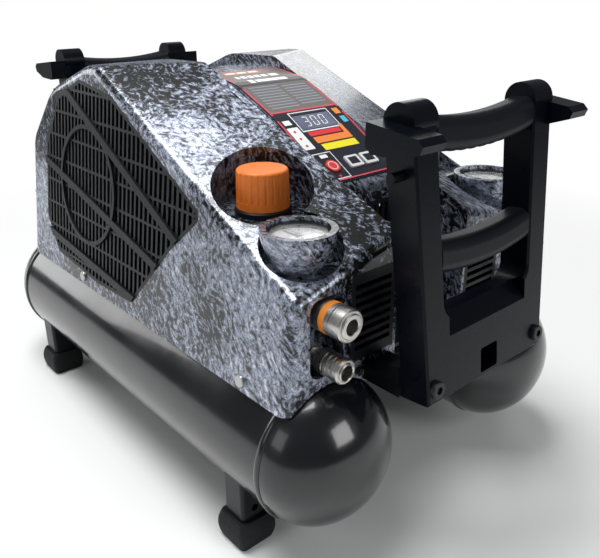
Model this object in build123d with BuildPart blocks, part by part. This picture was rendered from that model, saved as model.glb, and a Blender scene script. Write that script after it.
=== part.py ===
"""Portable twin-tank air compressor, all sizes in millimetres.

Z is up, the floor is Z = 0, the tanks run along Y and the outlet end faces -Y.
Most pieces on the +X side mirror the -X side.
"""
import os
from math import atan, cos, degrees, pi, radians, sin, sqrt, tan
from build123d import *

os.makedirs("parts", exist_ok=True)

# --- tanks and feet -------------------------------------------------------
tank_radius = 61.0
tank_wall = 2.5
tank_seam = 216.0
dome_depth = 52.4
tank_offset = 110.6
tank_axis_height = 85.3
bead_width = 6.0
bead_rise = 1.4
foot_side = 31.0
foot_offset = 155.0
foot_reach = 178.5
boot_height = 24.0
boot_bulge = 2.2
boot_floor = 6.0
leg_wall = 3.0
leg_side = 24.0
link_radius = 7.0
link_reach = 150.0

# --- chassis --------------------------------------------------------------
deck_height = 148.0
deck_thickness = 3.0
saddle_length = 36.0
saddle_width = 46.0
saddle_reach = 150.0

# --- covers ---------------------------------------------------------------
cover_wall = 3.0
cover_half_width = 154.0
cover_bottom = 134.0
cover_front = 228.0
cover_rear = 218.0
side_lean = 7.5
valley_half_width = 41.0
nose_height = 260.0
slope_height = 313.0
slope_reach = 111.0
shoulder_height = 338.0
shoulder_reach = 50.0
crest_height = 348.5
crest_front = 10.0
crest_back = 90.0
tail_height = 318.0
tail_reach = 170.0
heel_height = 262.0
nose_round = 12.0
slope_round = 120.0
tail_round = 62.0
heel_round = 30.0
edge_round = 9.0
facet_fall = 0.42
facet_slant = 0.28
facet_side = 52.0
facet_reach = 127.0
facet_level = 285.0
strip_drop = 11.5
strip_front = 158.0
strip_nose_height = 262.0
strip_slope_reach = 80.0
strip_slope_height = 309.0
strip_shoulder_reach = 30.0
strip_shoulder_height = 331.0

# --- bowl, cup and louvres ------------------------------------------------
bowl_x = 92.0
bowl_y = 131.0
bowl_radius = 40.0
bowl_floor = 250.0
cup_x = 111.0
cup_y = 195.0
cup_radius = 28.0
cup_rim = 258.0
cup_depth = 36.0
cup_tip_radius = 11.0
well_x = 106.0
well_y = 192.0
well_radius = 31.0
well_floor = 224.0
port_pocket_width = 32.0
port_pocket_depth = 22.0
port_pocket_top = 217.0
louvre_width = 46.0
louvre_top = 225.0
louvre_pitch = 7.0
grille_wall = 2.4
slat_pitch = 7.6
slat_gap = 4.6
rib_height = 2.0
fan_ring_radius = 58.0
fan_ring_width = 4.0

# --- outlets, knobs and gauges --------------------------------------------
port_x = 114.0
port_heights = (203.0, 166.0)
port_shank_radius = 8.0
knob_stem_radius = 7.0
knob_radius = 21.0
knob_height = 30.0
knob_flutes = 24
collar_height = 5.0
gauge_stem_radius = 5.0

# --- handles --------------------------------------------------------------
handle_lean = 6.3
handle_front = 288.6
handle_bottom = 138.0
handle_depth = 25.0
post_foot_half = 71.5
post_head_half = 79.5
post_width_foot = 22.0
post_width_head = 23.6
post_length = 199.0
crossbar_height = 60.0
crossbar_slope = 15.0
window_round = 14.0
knuckle_radius = 13.0
horn_reach = 96.0
grip_height = 24.0
grip_depth = 24.0
grip_sag = 5.0
grip_round = 8.0
pocket_row = 5.0
pocket_pitch = 11.0
pocket_count = 8
pocket_depth = 4.0
lower_grip_level = 106.0
upper_grip_level = 190.0

# --- motor and pump -------------------------------------------------------
pump_y = 80.0
pump_height = 232.0
stator_radius = 49.0
stator_length = 62.0
rotor_radius = 26.0
air_gap = 0.8
shaft_radius = 7.0
shaft_half_length = 58.0
bearing_radius = 15.0
bearing_width = 9.0
crank_radius = 10.0
disc_radius = 19.0
disc_thickness = 7.0
pin_radius = 5.0
pin_length = 6.0
piston_radius = 22.0
piston_length = 12.0
rod_length = 62.0
rod_thickness = 7.0
cylinder_wall = 3.0
fan_radius = 54.0
fan_blades = 9

# --- control panel --------------------------------------------------------
panel_half_width = 39.5
panel_front = 153.0
panel_back = 14.0
panel_thickness = 1.2
key_rise = 1.6
display_size = (42.0, 18.0)
display_spot = (0.0, 80.0)
power_spot = (-24.0, 24.5)
power_key_radius = 6.5
pressure_spot = (1.0, 25.0)
mode_spot = (19.0, 25.0)
key_size = (15.0, 13.0)
key_travel = 0.8
lamp_spots = [(-31.0, 70.0), (-31.0, 61.0), (-31.0, 52.0), (-24.0, 13.0)]
lamp_radius = 1.3
board_run = 48.0
board_size = (68.0, 84.0)

# --- manifolds, couplers and drain ----------------------------------------
manifold_width = 34.0
manifold_rear = 108.0
manifold_height = 196.0
manifold_head = 219.0
manifold_head_length = 34.0
regulator_radius = 19.0
lens_thickness = 1.6
sleeve_radii = (12.0, 9.6)
sleeve_lengths = (30.0, 24.0)
socket_radius = 5.6
socket_depth = 22.0
body_lengths = (50.0, 46.0)
hex_size = 10.5
nipple_y = 190.0
nipple_radius = 6.0
valve_x = 122.0
valve_height = 192.0
valve_y = 200.0
valve_radius = 8.0
drain_knob_radius = 13.0
drain_knob_length = 22.0
drain_knob_gap = 2.0
gland_height = 176.0
gland_radius = 9.0
valve_pipe_radius = 5.0

# --- handle arms, bolts and cover screws ----------------------------------
arm_width = 30.0
arm_x = 60.0
arm_thickness = 12.0
arm_root = 196.0
pad_height = 24.0
pad_depth = 11.0
bolt_x = 64.0
bolt_level = 12.0
bolt_radius = 3.0
bolt_head_radius = 6.5
bolt_head_height = 3.6
lug_depth = 12.0
lug_half_width = 7.0
lug_floor = 137.0
screw_spots = [(90.0, 142.0), (-176.0, 142.0)]
screw_radius = 2.0
screw_head_radius = 5.0
screw_head_height = 2.0

# --- pump details, pipes and fans -----------------------------------------
housing_wall = 5.0
bell_thickness = 9.0
case_radius = 46.0
case_wall = 3.0
case_near = 47.0
case_far = 80.0
cylinder_front = -6.0
rod_gap = 0.3
flange_side = 56.0
flange_thickness = 5.0
head_length = 18.0
head_bolt_reach = 22.0
head_bolt_radius = 2.5
pipe_radius = 4.0
pipe_y = -15.0
pipe_level = 176.0
port_hex = 9.0
port_hole = 11.0
port_top = 160.0
shroud_radius = 60.0
shroud_wall = 3.0
fan_near = 108.0
fan_far = 125.0
hub_radius = 18.0
fan_motor_radius = 16.0
fan_motor_near = 88.0
fan_motor_far = 105.0
blade_chord = 22.0
blade_pitch = 40.0
blade_thickness = 2.0

# --- inverter, deck slot and centre nose ----------------------------------
inverter_half_width = 36.0
inverter_front = 148.0
inverter_rear = 52.0
inverter_height = 58.0
capacitor_radius = 14.0
capacitor_height = 60.0
capacitor_x = 56.0
capacitor_y = 62.0
deck_slot_y = 165.0
deck_slot_length = 60.0
deck_slot_width = 22.0
nose_width = 34.0
nose_reach = 30.0
nose_top = 226.0
nose_foot = 192.0
nose_rib = 3.0

# --- fits -----------------------------------------------------------------
contact = 0.02
shaft_fit = 0.05
slide_fit = 0.3
seat_fit = 0.1


def save(form, name):
    """Name a finished piece and write it out."""
    form.label = name
    export_step(form, f"parts/{name}.step")


def side_plane(x):
    """Plane facing +X at the given x, drawn with Y to the right and Z up."""
    return Plane(origin=(x, 0, 0), x_dir=(0, 1, 0), z_dir=(1, 0, 0))


def both_sides(form):
    """The given piece and its mirror image across the middle plane."""
    return Compound(children=[form, mirror(form, about=Plane.YZ)])


def both_ends(form):
    """The given piece and its mirror image from front to rear."""
    return Compound(children=[form, mirror(form, about=Plane.XZ)])


# --- tanks ----------------------------------------------------------------
def dished_form(radius, depth, bead):
    """Solid tank body along Y at the origin, with a half-ellipse dome at each end."""
    with BuildPart() as half:
        with BuildSketch(side_plane(0)):
            with Locations((tank_seam / 2, 0)):
                Rectangle(tank_seam, 2 * radius)
            with Locations((tank_seam, 0)):
                Ellipse(depth, radius)
            if bead:
                with Locations((tank_seam, radius)):
                    Ellipse(bead_width / 2, bead)
            with Locations((tank_seam, radius)):
                Rectangle(2 * tank_seam, 2 * radius, mode=Mode.INTERSECT)
        revolve(axis=Axis.Y)
        mirror(about=Plane.XZ)
    return half.part


def tank_form(x):
    """Hollow welded tank with deep dished ends and a bead at each seam."""
    with BuildPart() as tank:
        with Locations((x, 0, tank_axis_height)):
            add(dished_form(tank_radius, dome_depth, bead_rise))
            add(dished_form(tank_radius - tank_wall, dome_depth - tank_wall, 0),
                mode=Mode.SUBTRACT)
        inner = -x / abs(x)
        for side in (-1, 1):
            with BuildSketch(Plane(origin=(x, side * link_reach, tank_axis_height),
                                   z_dir=(inner, 0, 0))):
                Circle(link_radius - 2)
            extrude(amount=tank_radius + 1, mode=Mode.SUBTRACT)
    return tank.part


for name, side in (("tank_left", -1), ("tank_right", 1)):
    save(tank_form(side * tank_offset), name)

with BuildPart() as tank_space:
    for side in (-1, 1):
        with Locations(Pos(side * tank_offset, 0, tank_axis_height) * Rot(90, 0, 0)):
            Cylinder(tank_radius + contact, 2 * tank_seam - bead_width)

with BuildPart() as link_pipes:
    for side in (-1, 1):
        reach = tank_offset - sqrt(tank_radius ** 2 - link_radius ** 2)
        with BuildSketch(Plane(origin=(-reach, side * link_reach, tank_axis_height),
                               z_dir=(1, 0, 0))):
            Circle(link_radius)
            Circle(link_radius - 2, mode=Mode.SUBTRACT)
        extrude(amount=2 * reach)
    add(tank_space.part, mode=Mode.SUBTRACT)
save(link_pipes.part, "link_pipes")

with BuildPart() as tank_room:
    for side in (-1, 1):
        with Locations((side * tank_offset, 0, tank_axis_height)):
            add(dished_form(tank_radius + bead_rise + slide_fit, dome_depth + 1, 0))

# --- feet: steel legs welded to the tanks, each in a rubber boot ----------
with BuildPart() as leg:
    with BuildSketch(Plane.XY.offset(boot_floor)):
        with Locations((-foot_offset, -foot_reach)):
            RectangleRounded(leg_side, leg_side, 3)
    extrude(amount=tank_axis_height - boot_floor)
    with BuildSketch(Plane.XY.offset(boot_floor)):
        with Locations((-foot_offset, -foot_reach)):
            Rectangle(leg_side - 2 * leg_wall, leg_side - 2 * leg_wall)
    extrude(amount=tank_axis_height - boot_floor, mode=Mode.SUBTRACT)
    with BuildSketch(Plane.XZ.offset(foot_reach + leg_side)):
        with Locations((-foot_offset, (boot_height + tank_axis_height - tank_radius) / 2 + 10)):
            Circle(3)
    extrude(amount=-leg_side, mode=Mode.SUBTRACT)
    add(tank_space.part, mode=Mode.SUBTRACT)
    leg_body = leg.part.solids().sort_by(Axis.Z)[0]
save(both_ends(both_sides(leg_body)), "foot_legs")

with BuildPart() as boot:
    for level, side in ((0, foot_side), (boot_height / 2, foot_side + 2 * boot_bulge),
                        (boot_height, foot_side - 1)):
        with BuildSketch(Plane.XY.offset(level)):
            with Locations((-foot_offset, -foot_reach)):
                RectangleRounded(side, side, 4)
    loft()
    with BuildSketch(Plane.XY.offset(boot_floor - contact)):
        with Locations((-foot_offset, -foot_reach)):
            RectangleRounded(leg_side + 2 * contact, leg_side + 2 * contact, 3)
    extrude(amount=boot_height, mode=Mode.SUBTRACT)
    with Locations((-tank_offset, 0, tank_axis_height)):
        Cylinder(tank_radius + slide_fit, 4 * tank_seam, rotation=(90, 0, 0),
                 mode=Mode.SUBTRACT)
save(both_ends(both_sides(boot.part)), "rubber_feet")

# --- chassis deck on four saddles -----------------------------------------
deck_top = deck_height + deck_thickness
deck_edge = (cover_half_width - (deck_top - cover_bottom) * tan(radians(side_lean))
             - cover_wall / cos(radians(side_lean)) - contact)
deck_front = cover_front - cover_wall - contact
deck_rear = cover_rear - cover_wall - contact

with BuildPart() as deck:
    with BuildSketch(Plane.XY.offset(deck_height)):
        with BuildLine():
            Polyline((-deck_edge, -deck_front), (deck_edge, -deck_front), (deck_edge, deck_rear),
                     (-deck_edge, deck_rear), close=True)
        make_face()
        fillet(vertices(), edge_round + 2)
        for side in (-1, 1):
            with Locations((side * tank_offset, pipe_y)):
                Circle(port_hole, mode=Mode.SUBTRACT)
            with Locations((side * port_x, -nipple_y)):
                Circle(nipple_radius + 1, mode=Mode.SUBTRACT)
        with Locations((-valve_x, valve_y)):
            Circle(valve_pipe_radius + 1, mode=Mode.SUBTRACT)
        with Locations((0, deck_slot_y)):
            SlotOverall(deck_slot_length, deck_slot_width, mode=Mode.SUBTRACT)
    extrude(amount=deck_thickness)
save(deck.part, "chassis_deck")

with BuildPart() as saddle:
    with Locations((-tank_offset, -saddle_reach, (deck_height + tank_axis_height) / 2)):
        Box(saddle_width, saddle_length, deck_height - tank_axis_height)
    add(tank_space.part, mode=Mode.SUBTRACT)
save(both_ends(both_sides(saddle.part)), "tank_saddles")

# --- covers ---------------------------------------------------------------
side_tilt = radians(side_lean)
side_facing = Vector(-cos(side_tilt), 0, sin(side_tilt))
side_root = Vector(-cover_half_width, 0, cover_bottom)
facet_facing = Vector(-facet_slant, -facet_fall, 1).normalized()
facet_root = Vector(-facet_side, -facet_reach, facet_level)

hood_line = [
    (-cover_front, nose_height, nose_round),
    (-slope_reach, slope_height, slope_round),
    (-shoulder_reach, shoulder_height, slope_round),
    (crest_front, crest_height, slope_round),
    (crest_back, crest_height - 2, tail_round),
    (tail_reach, tail_height, tail_round),
    (cover_rear, heel_height, heel_round),
]
strip_line = [
    (-strip_front, strip_nose_height, nose_round / 2),
    (-strip_slope_reach, strip_slope_height, slope_round),
    (-strip_shoulder_reach, strip_shoulder_height, slope_round / 2),
    (crest_front, crest_height - strip_drop, slope_round),
    (crest_back, crest_height - strip_drop - 2, tail_round),
    (tail_reach, tail_height - strip_drop, tail_round),
    (cover_rear, heel_height - strip_drop, heel_round),
]


def hood_slab(line, inset, half_width, near, floor=cover_bottom):
    """Slab with the given side outline, from x = -half_width to x = -near."""
    with BuildPart() as slab:
        with BuildSketch(side_plane(-half_width)) as profile:
            with BuildLine():
                Polyline((line[0][0], floor), *[corner[:2] for corner in line],
                         (line[-1][0], floor), close=True)
            make_face()
            for y, z, round_off in line:
                fillet([v for v in profile.vertices() if abs(v.X - y) + abs(v.Y - z) < 0.01],
                       round_off)
            if inset:
                offset(amount=-inset, kind=Kind.INTERSECTION)
        extrude(amount=half_width - near)
    return slab.part


def cover_form(inset):
    """Left half of the hood, shrunk by inset: slab, leaning side and front facet."""
    with BuildPart() as form:
        add(hood_slab(hood_line, inset, cover_half_width, valley_half_width + inset,
                      cover_bottom - (2 * cover_wall if inset else 0)))
        for root, facing in ((side_root, side_facing), (facet_root, facet_facing)):
            split(bisect_by=Plane(origin=root - facing * inset, z_dir=facing), keep=Keep.BOTTOM)
    return form


def rounded_form(inset):
    """Left half of the hood, shrunk by inset, with the long outer edges rounded."""
    form = cover_form(inset)
    side = [f for f in form.faces() if (f.normal_at() - side_facing).length < 0.001][0]
    facet = [f for f in form.faces() if f.geom_type == GeomType.PLANE
             and (f.normal_at() - facet_facing).length < 0.001][0]
    lowest = form.part.bounding_box().min.Z
    side_edges = [e for e in side.edges() if e.center().Z > lowest + 1]
    facet_edges = [e for e in facet.edges()
                   if min((e.center() - o.center()).length for o in side_edges) > 0.01
                   and e.center().X < -valley_half_width - inset - 1]
    return form.part.fillet(edge_round - inset, side_edges + facet_edges)


cover_outside = rounded_form(0)
cover_inside = rounded_form(cover_wall)

strip_outside = hood_slab(strip_line, 0, valley_half_width - seat_fit,
                          -valley_half_width + seat_fit)
strip_inside = hood_slab(strip_line, cover_wall, valley_half_width + 2 * cover_wall,
                         -valley_half_width - 2 * cover_wall, cover_bottom - 2 * cover_wall)

bowl_place = Pos(-bowl_x, -bowl_y, bowl_floor)
well_place = Pos(-well_x, -well_y, well_floor)

port_pocket_floor = deck_top + cover_wall + 1
louvre_x = valley_half_width + cover_wall + louvre_width / 2
louvre_floor = port_pocket_floor

with BuildPart() as cup_outside:
    with BuildSketch(Plane(origin=(-cup_x, -cup_y, 0), x_dir=(1, 0, 0), z_dir=(0, -1, 0))):
        with BuildLine():
            Line((0, cup_rim), (0, cup_rim - cup_depth))
            Line((0, cup_rim - cup_depth), (cup_tip_radius, cup_rim - cup_depth))
            ThreePointArc((cup_tip_radius, cup_rim - cup_depth),
                          (cup_radius - 4.5, cup_rim - cup_depth / 2),
                          (cup_radius, cup_rim - 3))
            Line((cup_radius, cup_rim - 3), (cup_radius, cup_rim))
            Line((cup_radius, cup_rim), (0, cup_rim))
        make_face()
    revolve(axis=Axis((-cup_x, -cup_y, 0), (0, 0, 1)))

gauge_radius = cup_radius - 5.0
gauge_seat = cup_rim - 18.0

with BuildPart() as pocket_outside:
    with BuildSketch(Plane.XZ.offset(cover_front)):
        with Locations((-port_x, (port_pocket_top + port_pocket_floor) / 2)):
            RectangleRounded(port_pocket_width + 2 * cover_wall,
                             port_pocket_top - port_pocket_floor + 2 * cover_wall, 12)
    extrude(amount=-port_pocket_depth - cover_wall)

with BuildPart() as pocket_inside:
    with BuildSketch(Plane.XZ.offset(cover_front + 1)):
        with Locations((-port_x, (port_pocket_top + port_pocket_floor) / 2)):
            RectangleRounded(port_pocket_width, port_pocket_top - port_pocket_floor, 9)
    extrude(amount=-port_pocket_depth - 1)

side_view = Plane(origin=tuple(side_root), x_dir=(0, -1, 0), z_dir=tuple(side_facing))


def on_side(y, z):
    """Point of the leaning side in its own plane, from its y and height."""
    return (-y, (z - cover_bottom) / cos(side_tilt))


grille_corners = [
    (178, 184), (178, 262), (150, 312), (100, 333), (36, 325), (-116, 252),
    (-72, 214), (-10, 147), (60, 144), (150, 152),
]


def grille_outline(shrink):
    """Outline of the side grille in the side plane, shrunk all round."""
    with BuildSketch() as outline:
        with BuildLine():
            Polyline(*[on_side(y, z) for y, z in grille_corners], close=True)
        make_face()
        fillet(outline.vertices(), 7)
        if shrink:
            offset(amount=-shrink, kind=Kind.INTERSECTION)
    return outline.sketch


bowl_outside = (bowl_place * Pos(0, 0, 80 - cover_wall)
                * Cylinder(bowl_radius + cover_wall, 160)) & cover_outside
well_outside = (well_place * Pos(0, 0, 80 - cover_wall)
                * Cylinder(well_radius + cover_wall, 160)) & cover_outside
port_box = pocket_outside.part & cover_outside

with BuildPart() as cover_left:
    add(cover_outside)
    add(cover_inside, mode=Mode.SUBTRACT)
    add(strip_inside, mode=Mode.SUBTRACT)
    add(bowl_outside)
    add(well_outside)
    add(port_box)
    add(pocket_inside.part, mode=Mode.SUBTRACT)
    with Locations(bowl_place * Pos(0, 0, 80)):
        Cylinder(bowl_radius, 160, mode=Mode.SUBTRACT)
    with Locations(well_place * Pos(0, 0, 80)):
        Cylinder(well_radius, 160, mode=Mode.SUBTRACT)
    add(cup_outside.part)
    with Locations(bowl_place):
        Cylinder(knob_stem_radius + 1, 4 * cover_wall, mode=Mode.SUBTRACT)
    with Locations(Pos(-cup_x, -cup_y, gauge_seat + 80)):
        Cylinder(gauge_radius, 160, mode=Mode.SUBTRACT)
    with Locations(Pos(-cup_x, -cup_y, cup_rim + 80)):
        Cylinder(cup_radius, 160, mode=Mode.SUBTRACT)
    with Locations(Pos(-cup_x, -cup_y, gauge_seat)):
        Cylinder(gauge_stem_radius + 1, 4 * cup_depth, mode=Mode.SUBTRACT)
    with Locations((-louvre_x, -cover_front, (louvre_top + louvre_floor) / 2)):
        Box(louvre_width, 4 * cover_wall, louvre_top - louvre_floor, mode=Mode.SUBTRACT)
    for height in port_heights:
        with Locations(Pos(-port_x, -cover_front + port_pocket_depth, height) * Rot(90, 0, 0)):
            Cylinder(port_shank_radius + 1, 4 * cover_wall, mode=Mode.SUBTRACT)
    with BuildSketch(side_view):
        add(grille_outline(0))
        for spot in screw_spots:
            with Locations(on_side(*spot)):
                Circle(screw_radius + slide_fit)
    extrude(amount=2 * cover_wall, both=True, mode=Mode.SUBTRACT)
    for end, reach in ((-1, cover_front), (1, cover_rear)):
        with Locations((-arm_x, end * reach, deck_height - arm_thickness / 2)):
            Box(arm_width + 2 * slide_fit, 4 * cover_wall, arm_thickness + 2 * slide_fit,
                mode=Mode.SUBTRACT)
    with Locations((-valley_half_width, -(strip_front + deck_front) / 2, deck_top / 2)):
        Box(4 * cover_wall, deck_front - strip_front + 2 * cover_wall, deck_top + 2 * contact,
            mode=Mode.SUBTRACT)
    add(tank_room.part, mode=Mode.SUBTRACT)
cover_part = cover_left.part.solids().sort_by(SortBy.VOLUME)[-1]


def rear_hole(x, z, radius):
    """Hole through the rear wall of the covers."""
    return Pos(x, cover_rear, z) * Rot(90, 0, 0) * Cylinder(radius, 4 * cover_wall)


save(cover_part - rear_hole(-valve_x, valve_height, 6), "cover_left")
save(mirror(cover_part, about=Plane.YZ) - rear_hole(valve_x, gland_height, gland_radius - 1),
     "cover_right")

# --- middle strip of the hood with the panel on it ------------------------
vent_width = 60.0
vent_floor = deck_top + 10.0
vent_height = 84.0

with BuildPart() as middle_cover:
    add(strip_outside)
    add(strip_inside, mode=Mode.SUBTRACT)
    with Locations((0, 0, (cover_bottom + deck_top) / 2)):
        Box(2 * valley_half_width, 2 * strip_front, deck_top - cover_bottom,
            mode=Mode.SUBTRACT)
    with Locations((0, -strip_front, vent_floor + vent_height / 2)):
        Box(vent_width, 4 * cover_wall, vent_height, mode=Mode.SUBTRACT)
    with Locations((0, cover_rear, vent_floor + vent_height / 2)):
        Box(vent_width, 4 * cover_wall, vent_height, mode=Mode.SUBTRACT)
    with Locations((0, cover_rear, (cover_bottom + deck_top) / 2)):
        Box(2 * valley_half_width, 8 * cover_wall, deck_top - cover_bottom,
            mode=Mode.SUBTRACT)
save(middle_cover.part, "middle_cover")


def rib_panel(width, height, thickness, pitch, gap, margin):
    """Flat vent panel in XY with slots along X between ribs."""
    with BuildPart() as panel:
        with BuildSketch():
            Rectangle(width, height)
            count = int((height - 2 * margin) / pitch)
            with GridLocations(0, pitch, 1, count):
                Rectangle(width - 2 * margin, gap, mode=Mode.SUBTRACT)
        extrude(amount=-thickness)
    return panel.part


vent_panel = rib_panel(vent_height - 2 * seat_fit, vent_width - 2 * seat_fit, grille_wall,
                       louvre_pitch, louvre_pitch / 2, 4)
front_vent = (Plane(origin=(0, -strip_front, vent_floor + vent_height / 2), x_dir=(0, 0, 1),
                    z_dir=(0, -1, 0)) * vent_panel)
rear_vent = (Plane(origin=(0, cover_rear, vent_floor + vent_height / 2), x_dir=(0, 0, 1),
                   z_dir=(0, 1, 0)) * vent_panel)

louvre_height = louvre_top - louvre_floor
louvre_panel = rib_panel(louvre_width - 2 * seat_fit, louvre_height - 2 * seat_fit, grille_wall,
                         louvre_pitch, louvre_pitch * 0.55, 4)
left_louvre = (Plane(origin=(-louvre_x, -cover_front, louvre_floor + louvre_height / 2),
                     x_dir=(1, 0, 0), z_dir=(0, -1, 0)) * louvre_panel)
save(Compound(children=[front_vent, rear_vent, left_louvre, mirror(left_louvre, about=Plane.YZ)]),
     "vent_panels")

# --- side grilles ---------------------------------------------------------
ring_y = pump_y + 1.0
ring_height = pump_height + 4.0
rib_width = 7.0
rib_lines = [((150, 330), (-96, 216), 20), ((178, 246), (-66, 190), 12), ((178, 172), (-30, 150), 4)]
grille_step = 24.0
slat_count = 2 * int(160 / slat_pitch) + 1
row_count = 9
grille_middle = on_side(30, (333 + 144) / 2)


def rib_bar(start, end):
    """Bar along the side grille from one point to another, drawn in the side plane."""
    a = Vector(*on_side(*start))
    b = Vector(*on_side(*end))
    with BuildSketch() as bar:
        with Locations(Location(tuple((a + b) / 2), (0, 0, degrees(atan((b.Y - a.Y) / (b.X - a.X)))))):
            Rectangle((b - a).length, rib_width)
    return bar.sketch


with BuildSketch() as ring_sketch:
    with Locations(on_side(ring_y, ring_height)):
        Circle(fan_ring_radius)
        Circle(fan_ring_radius - fan_ring_width, mode=Mode.SUBTRACT)
with BuildSketch() as raised_sketch:
    add(ring_sketch.sketch)
    for start, end, _ in rib_lines:
        add(rib_bar(start, end))
    add(grille_outline(1), mode=Mode.INTERSECT)
with BuildSketch() as slot_sketch:
    with Locations(grille_middle):
        with GridLocations(slat_pitch, grille_step, slat_count, row_count):
            Rectangle(slat_gap, grille_step - 2.4)
    add(grille_outline(3.5), mode=Mode.INTERSECT)
    add(raised_sketch.sketch, mode=Mode.SUBTRACT)

with BuildPart() as side_grille:
    with BuildSketch(side_view):
        add(grille_outline(seat_fit))
    extrude(amount=-grille_wall)
    with BuildSketch(side_view):
        add(slot_sketch.sketch)
    extrude(amount=-2 * grille_wall, both=True, mode=Mode.SUBTRACT)
    with BuildSketch(side_view.offset(-grille_wall / 2)):
        add(raised_sketch.sketch)
    extrude(amount=grille_wall / 2 + rib_height)
save(both_sides(side_grille.part), "side_grilles")

# --- control panel: curved plate on the strip, with display and keys -------
slope_angle = degrees(atan((strip_slope_height - strip_nose_height)
                           / (strip_front - strip_slope_reach)))


def lifted(line, rise):
    """The same side outline moved up by rise."""
    return [(y, z + rise, round_off) for y, z, round_off in line]


panel_skin = (hood_slab(lifted(strip_line, panel_thickness), 0, panel_half_width,
                        -panel_half_width)
              - hood_slab(lifted(strip_line, contact), 0, panel_half_width + 1,
                          -panel_half_width - 1, cover_bottom - 1))
with BuildPart() as panel_zone:
    with BuildSketch(Plane.XY):
        with Locations((0, (panel_back - panel_front) / 2)):
            RectangleRounded(2 * panel_half_width, panel_front + panel_back, 5)
    extrude(amount=2 * crest_height)


def on_slope(x, run, rise):
    """Location on the sloping part of the strip: run up the slope from its front edge."""
    angle = radians(slope_angle)
    return Location((x, -strip_front + run * cos(angle) - rise * sin(angle),
                     strip_nose_height + run * sin(angle) + rise * cos(angle)),
                    (slope_angle, 0, 0))


def slope_prism(spot, size, low, high, corner):
    """Rounded block standing on the slope, from low to high above it."""
    with BuildPart() as prism:
        with BuildSketch():
            RectangleRounded(*size, corner)
        extrude(amount=high - low)
    return on_slope(*spot, low) * prism.part


def slope_disc(spot, radius, low, high):
    """Round block standing on the slope, from low to high above it."""
    return on_slope(*spot, low) * Cylinder(radius, high - low,
                                           align=(Align.CENTER, Align.CENTER, Align.MIN))


def key_hole(size):
    """Size of the opening round a key."""
    return tuple(side + 2 * slide_fit for side in size)


strip_top = panel_thickness * cos(radians(slope_angle))
hole_depth = -2 * cover_wall
panel_part = panel_skin & panel_zone.part
openings = [
    slope_prism(display_spot, key_hole(display_size), hole_depth, 9, 1.2),
    slope_prism(pressure_spot, key_hole(key_size), hole_depth, 9, 1.2),
    slope_prism(mode_spot, key_hole(key_size), hole_depth, 9, 1.2),
    slope_disc(power_spot, power_key_radius + slide_fit, hole_depth, 9),
]
openings += [slope_disc(spot, lamp_radius + seat_fit, hole_depth, 9) for spot in lamp_spots]
for opening in openings:
    panel_part = panel_part - opening
save(panel_part, "control_panel")

with BuildPart() as middle_cover_cut:
    add(middle_cover.part)
    for opening in openings:
        add(opening, mode=Mode.SUBTRACT)
save(middle_cover_cut.part, "middle_cover")

board_level = -cover_wall - 5.0
key_base = board_level + 1.6 + contact + key_travel
save(slope_prism(display_spot, display_size, board_level + 1.6 + contact, strip_top - 0.2, 1.0),
     "display_window")
save(slope_disc(power_spot, power_key_radius, key_base, strip_top + key_rise), "power_key")
save(slope_prism(pressure_spot, key_size, key_base, strip_top + key_rise, 1.0), "pressure_key")
save(slope_prism(mode_spot, key_size, key_base, strip_top + key_rise, 1.0), "mode_key")
save(Compound(children=[slope_disc(spot, lamp_radius, board_level + 1.6 + contact,
                                   strip_top + 0.4) for spot in lamp_spots]), "panel_lamps")

with BuildPart() as board_posts:
    with BuildSketch(Plane.XY):
        RectangleRounded(4, 4, 1)
    extrude(amount=-cover_wall - board_level - 2 * contact - 1.6)
post_part = board_posts.part
board = slope_prism((0, board_run), board_size, board_level, board_level + 1.6, 2.0)
posts = [on_slope(x, board_run + y, board_level + 1.6 + contact) * post_part
         for x in (-31, 31) for y in (-34, 34)]
save(Compound(children=[board] + posts), "control_board")

# --- outlet manifolds, regulators, gauges and couplers ---------------------
port_wall = cover_front - port_pocket_depth
manifold_front = port_wall - cover_wall - contact

with BuildPart() as manifold:
    with BuildSketch(side_plane(-port_x - manifold_width / 2)):
        with BuildLine():
            Polyline((-manifold_front, deck_top), (-manifold_front, manifold_head),
                     (-manifold_front + manifold_head_length, manifold_head),
                     (-manifold_front + manifold_head_length, manifold_height),
                     (-manifold_rear, manifold_height), (-manifold_rear, deck_top), close=True)
        make_face()
    extrude(amount=manifold_width)
    with Locations((-bowl_x - 4, -bowl_y, (manifold_height + deck_top) / 2)):
        Box(2 * regulator_radius + 4, 2 * regulator_radius, manifold_height - deck_top)
    for height in port_heights:
        with Locations(Pos(-port_x, -manifold_front, height) * Rot(90, 0, 0)):
            Cylinder(port_shank_radius - 2.5, 30, mode=Mode.SUBTRACT)
    with Locations((-cup_x, -cup_y, manifold_head)):
        Cylinder(gauge_stem_radius - 2, 20, mode=Mode.SUBTRACT)

with BuildPart() as regulator:
    with Locations((-bowl_x, -bowl_y, manifold_height)):
        Cylinder(regulator_radius, bowl_floor - cover_wall - contact - manifold_height,
                 align=(Align.CENTER, Align.CENTER, Align.MIN))
    with Locations((-bowl_x, -bowl_y, manifold_height + 8)):
        Cylinder(regulator_radius + 1, 4, mode=Mode.SUBTRACT)
        Cylinder(regulator_radius - 2, 4)
    with Locations((-bowl_x, -bowl_y, bowl_floor - cover_wall - 1)):
        Cylinder(knob_stem_radius, cover_wall + 1 + collar_height + knob_height * 0.5,
                 align=(Align.CENTER, Align.CENTER, Align.MIN))
regulators = [manifold.part, regulator.part]
save(Compound(children=regulators + [mirror(p, about=Plane.YZ) for p in regulators]),
     "outlet_manifolds")

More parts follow.
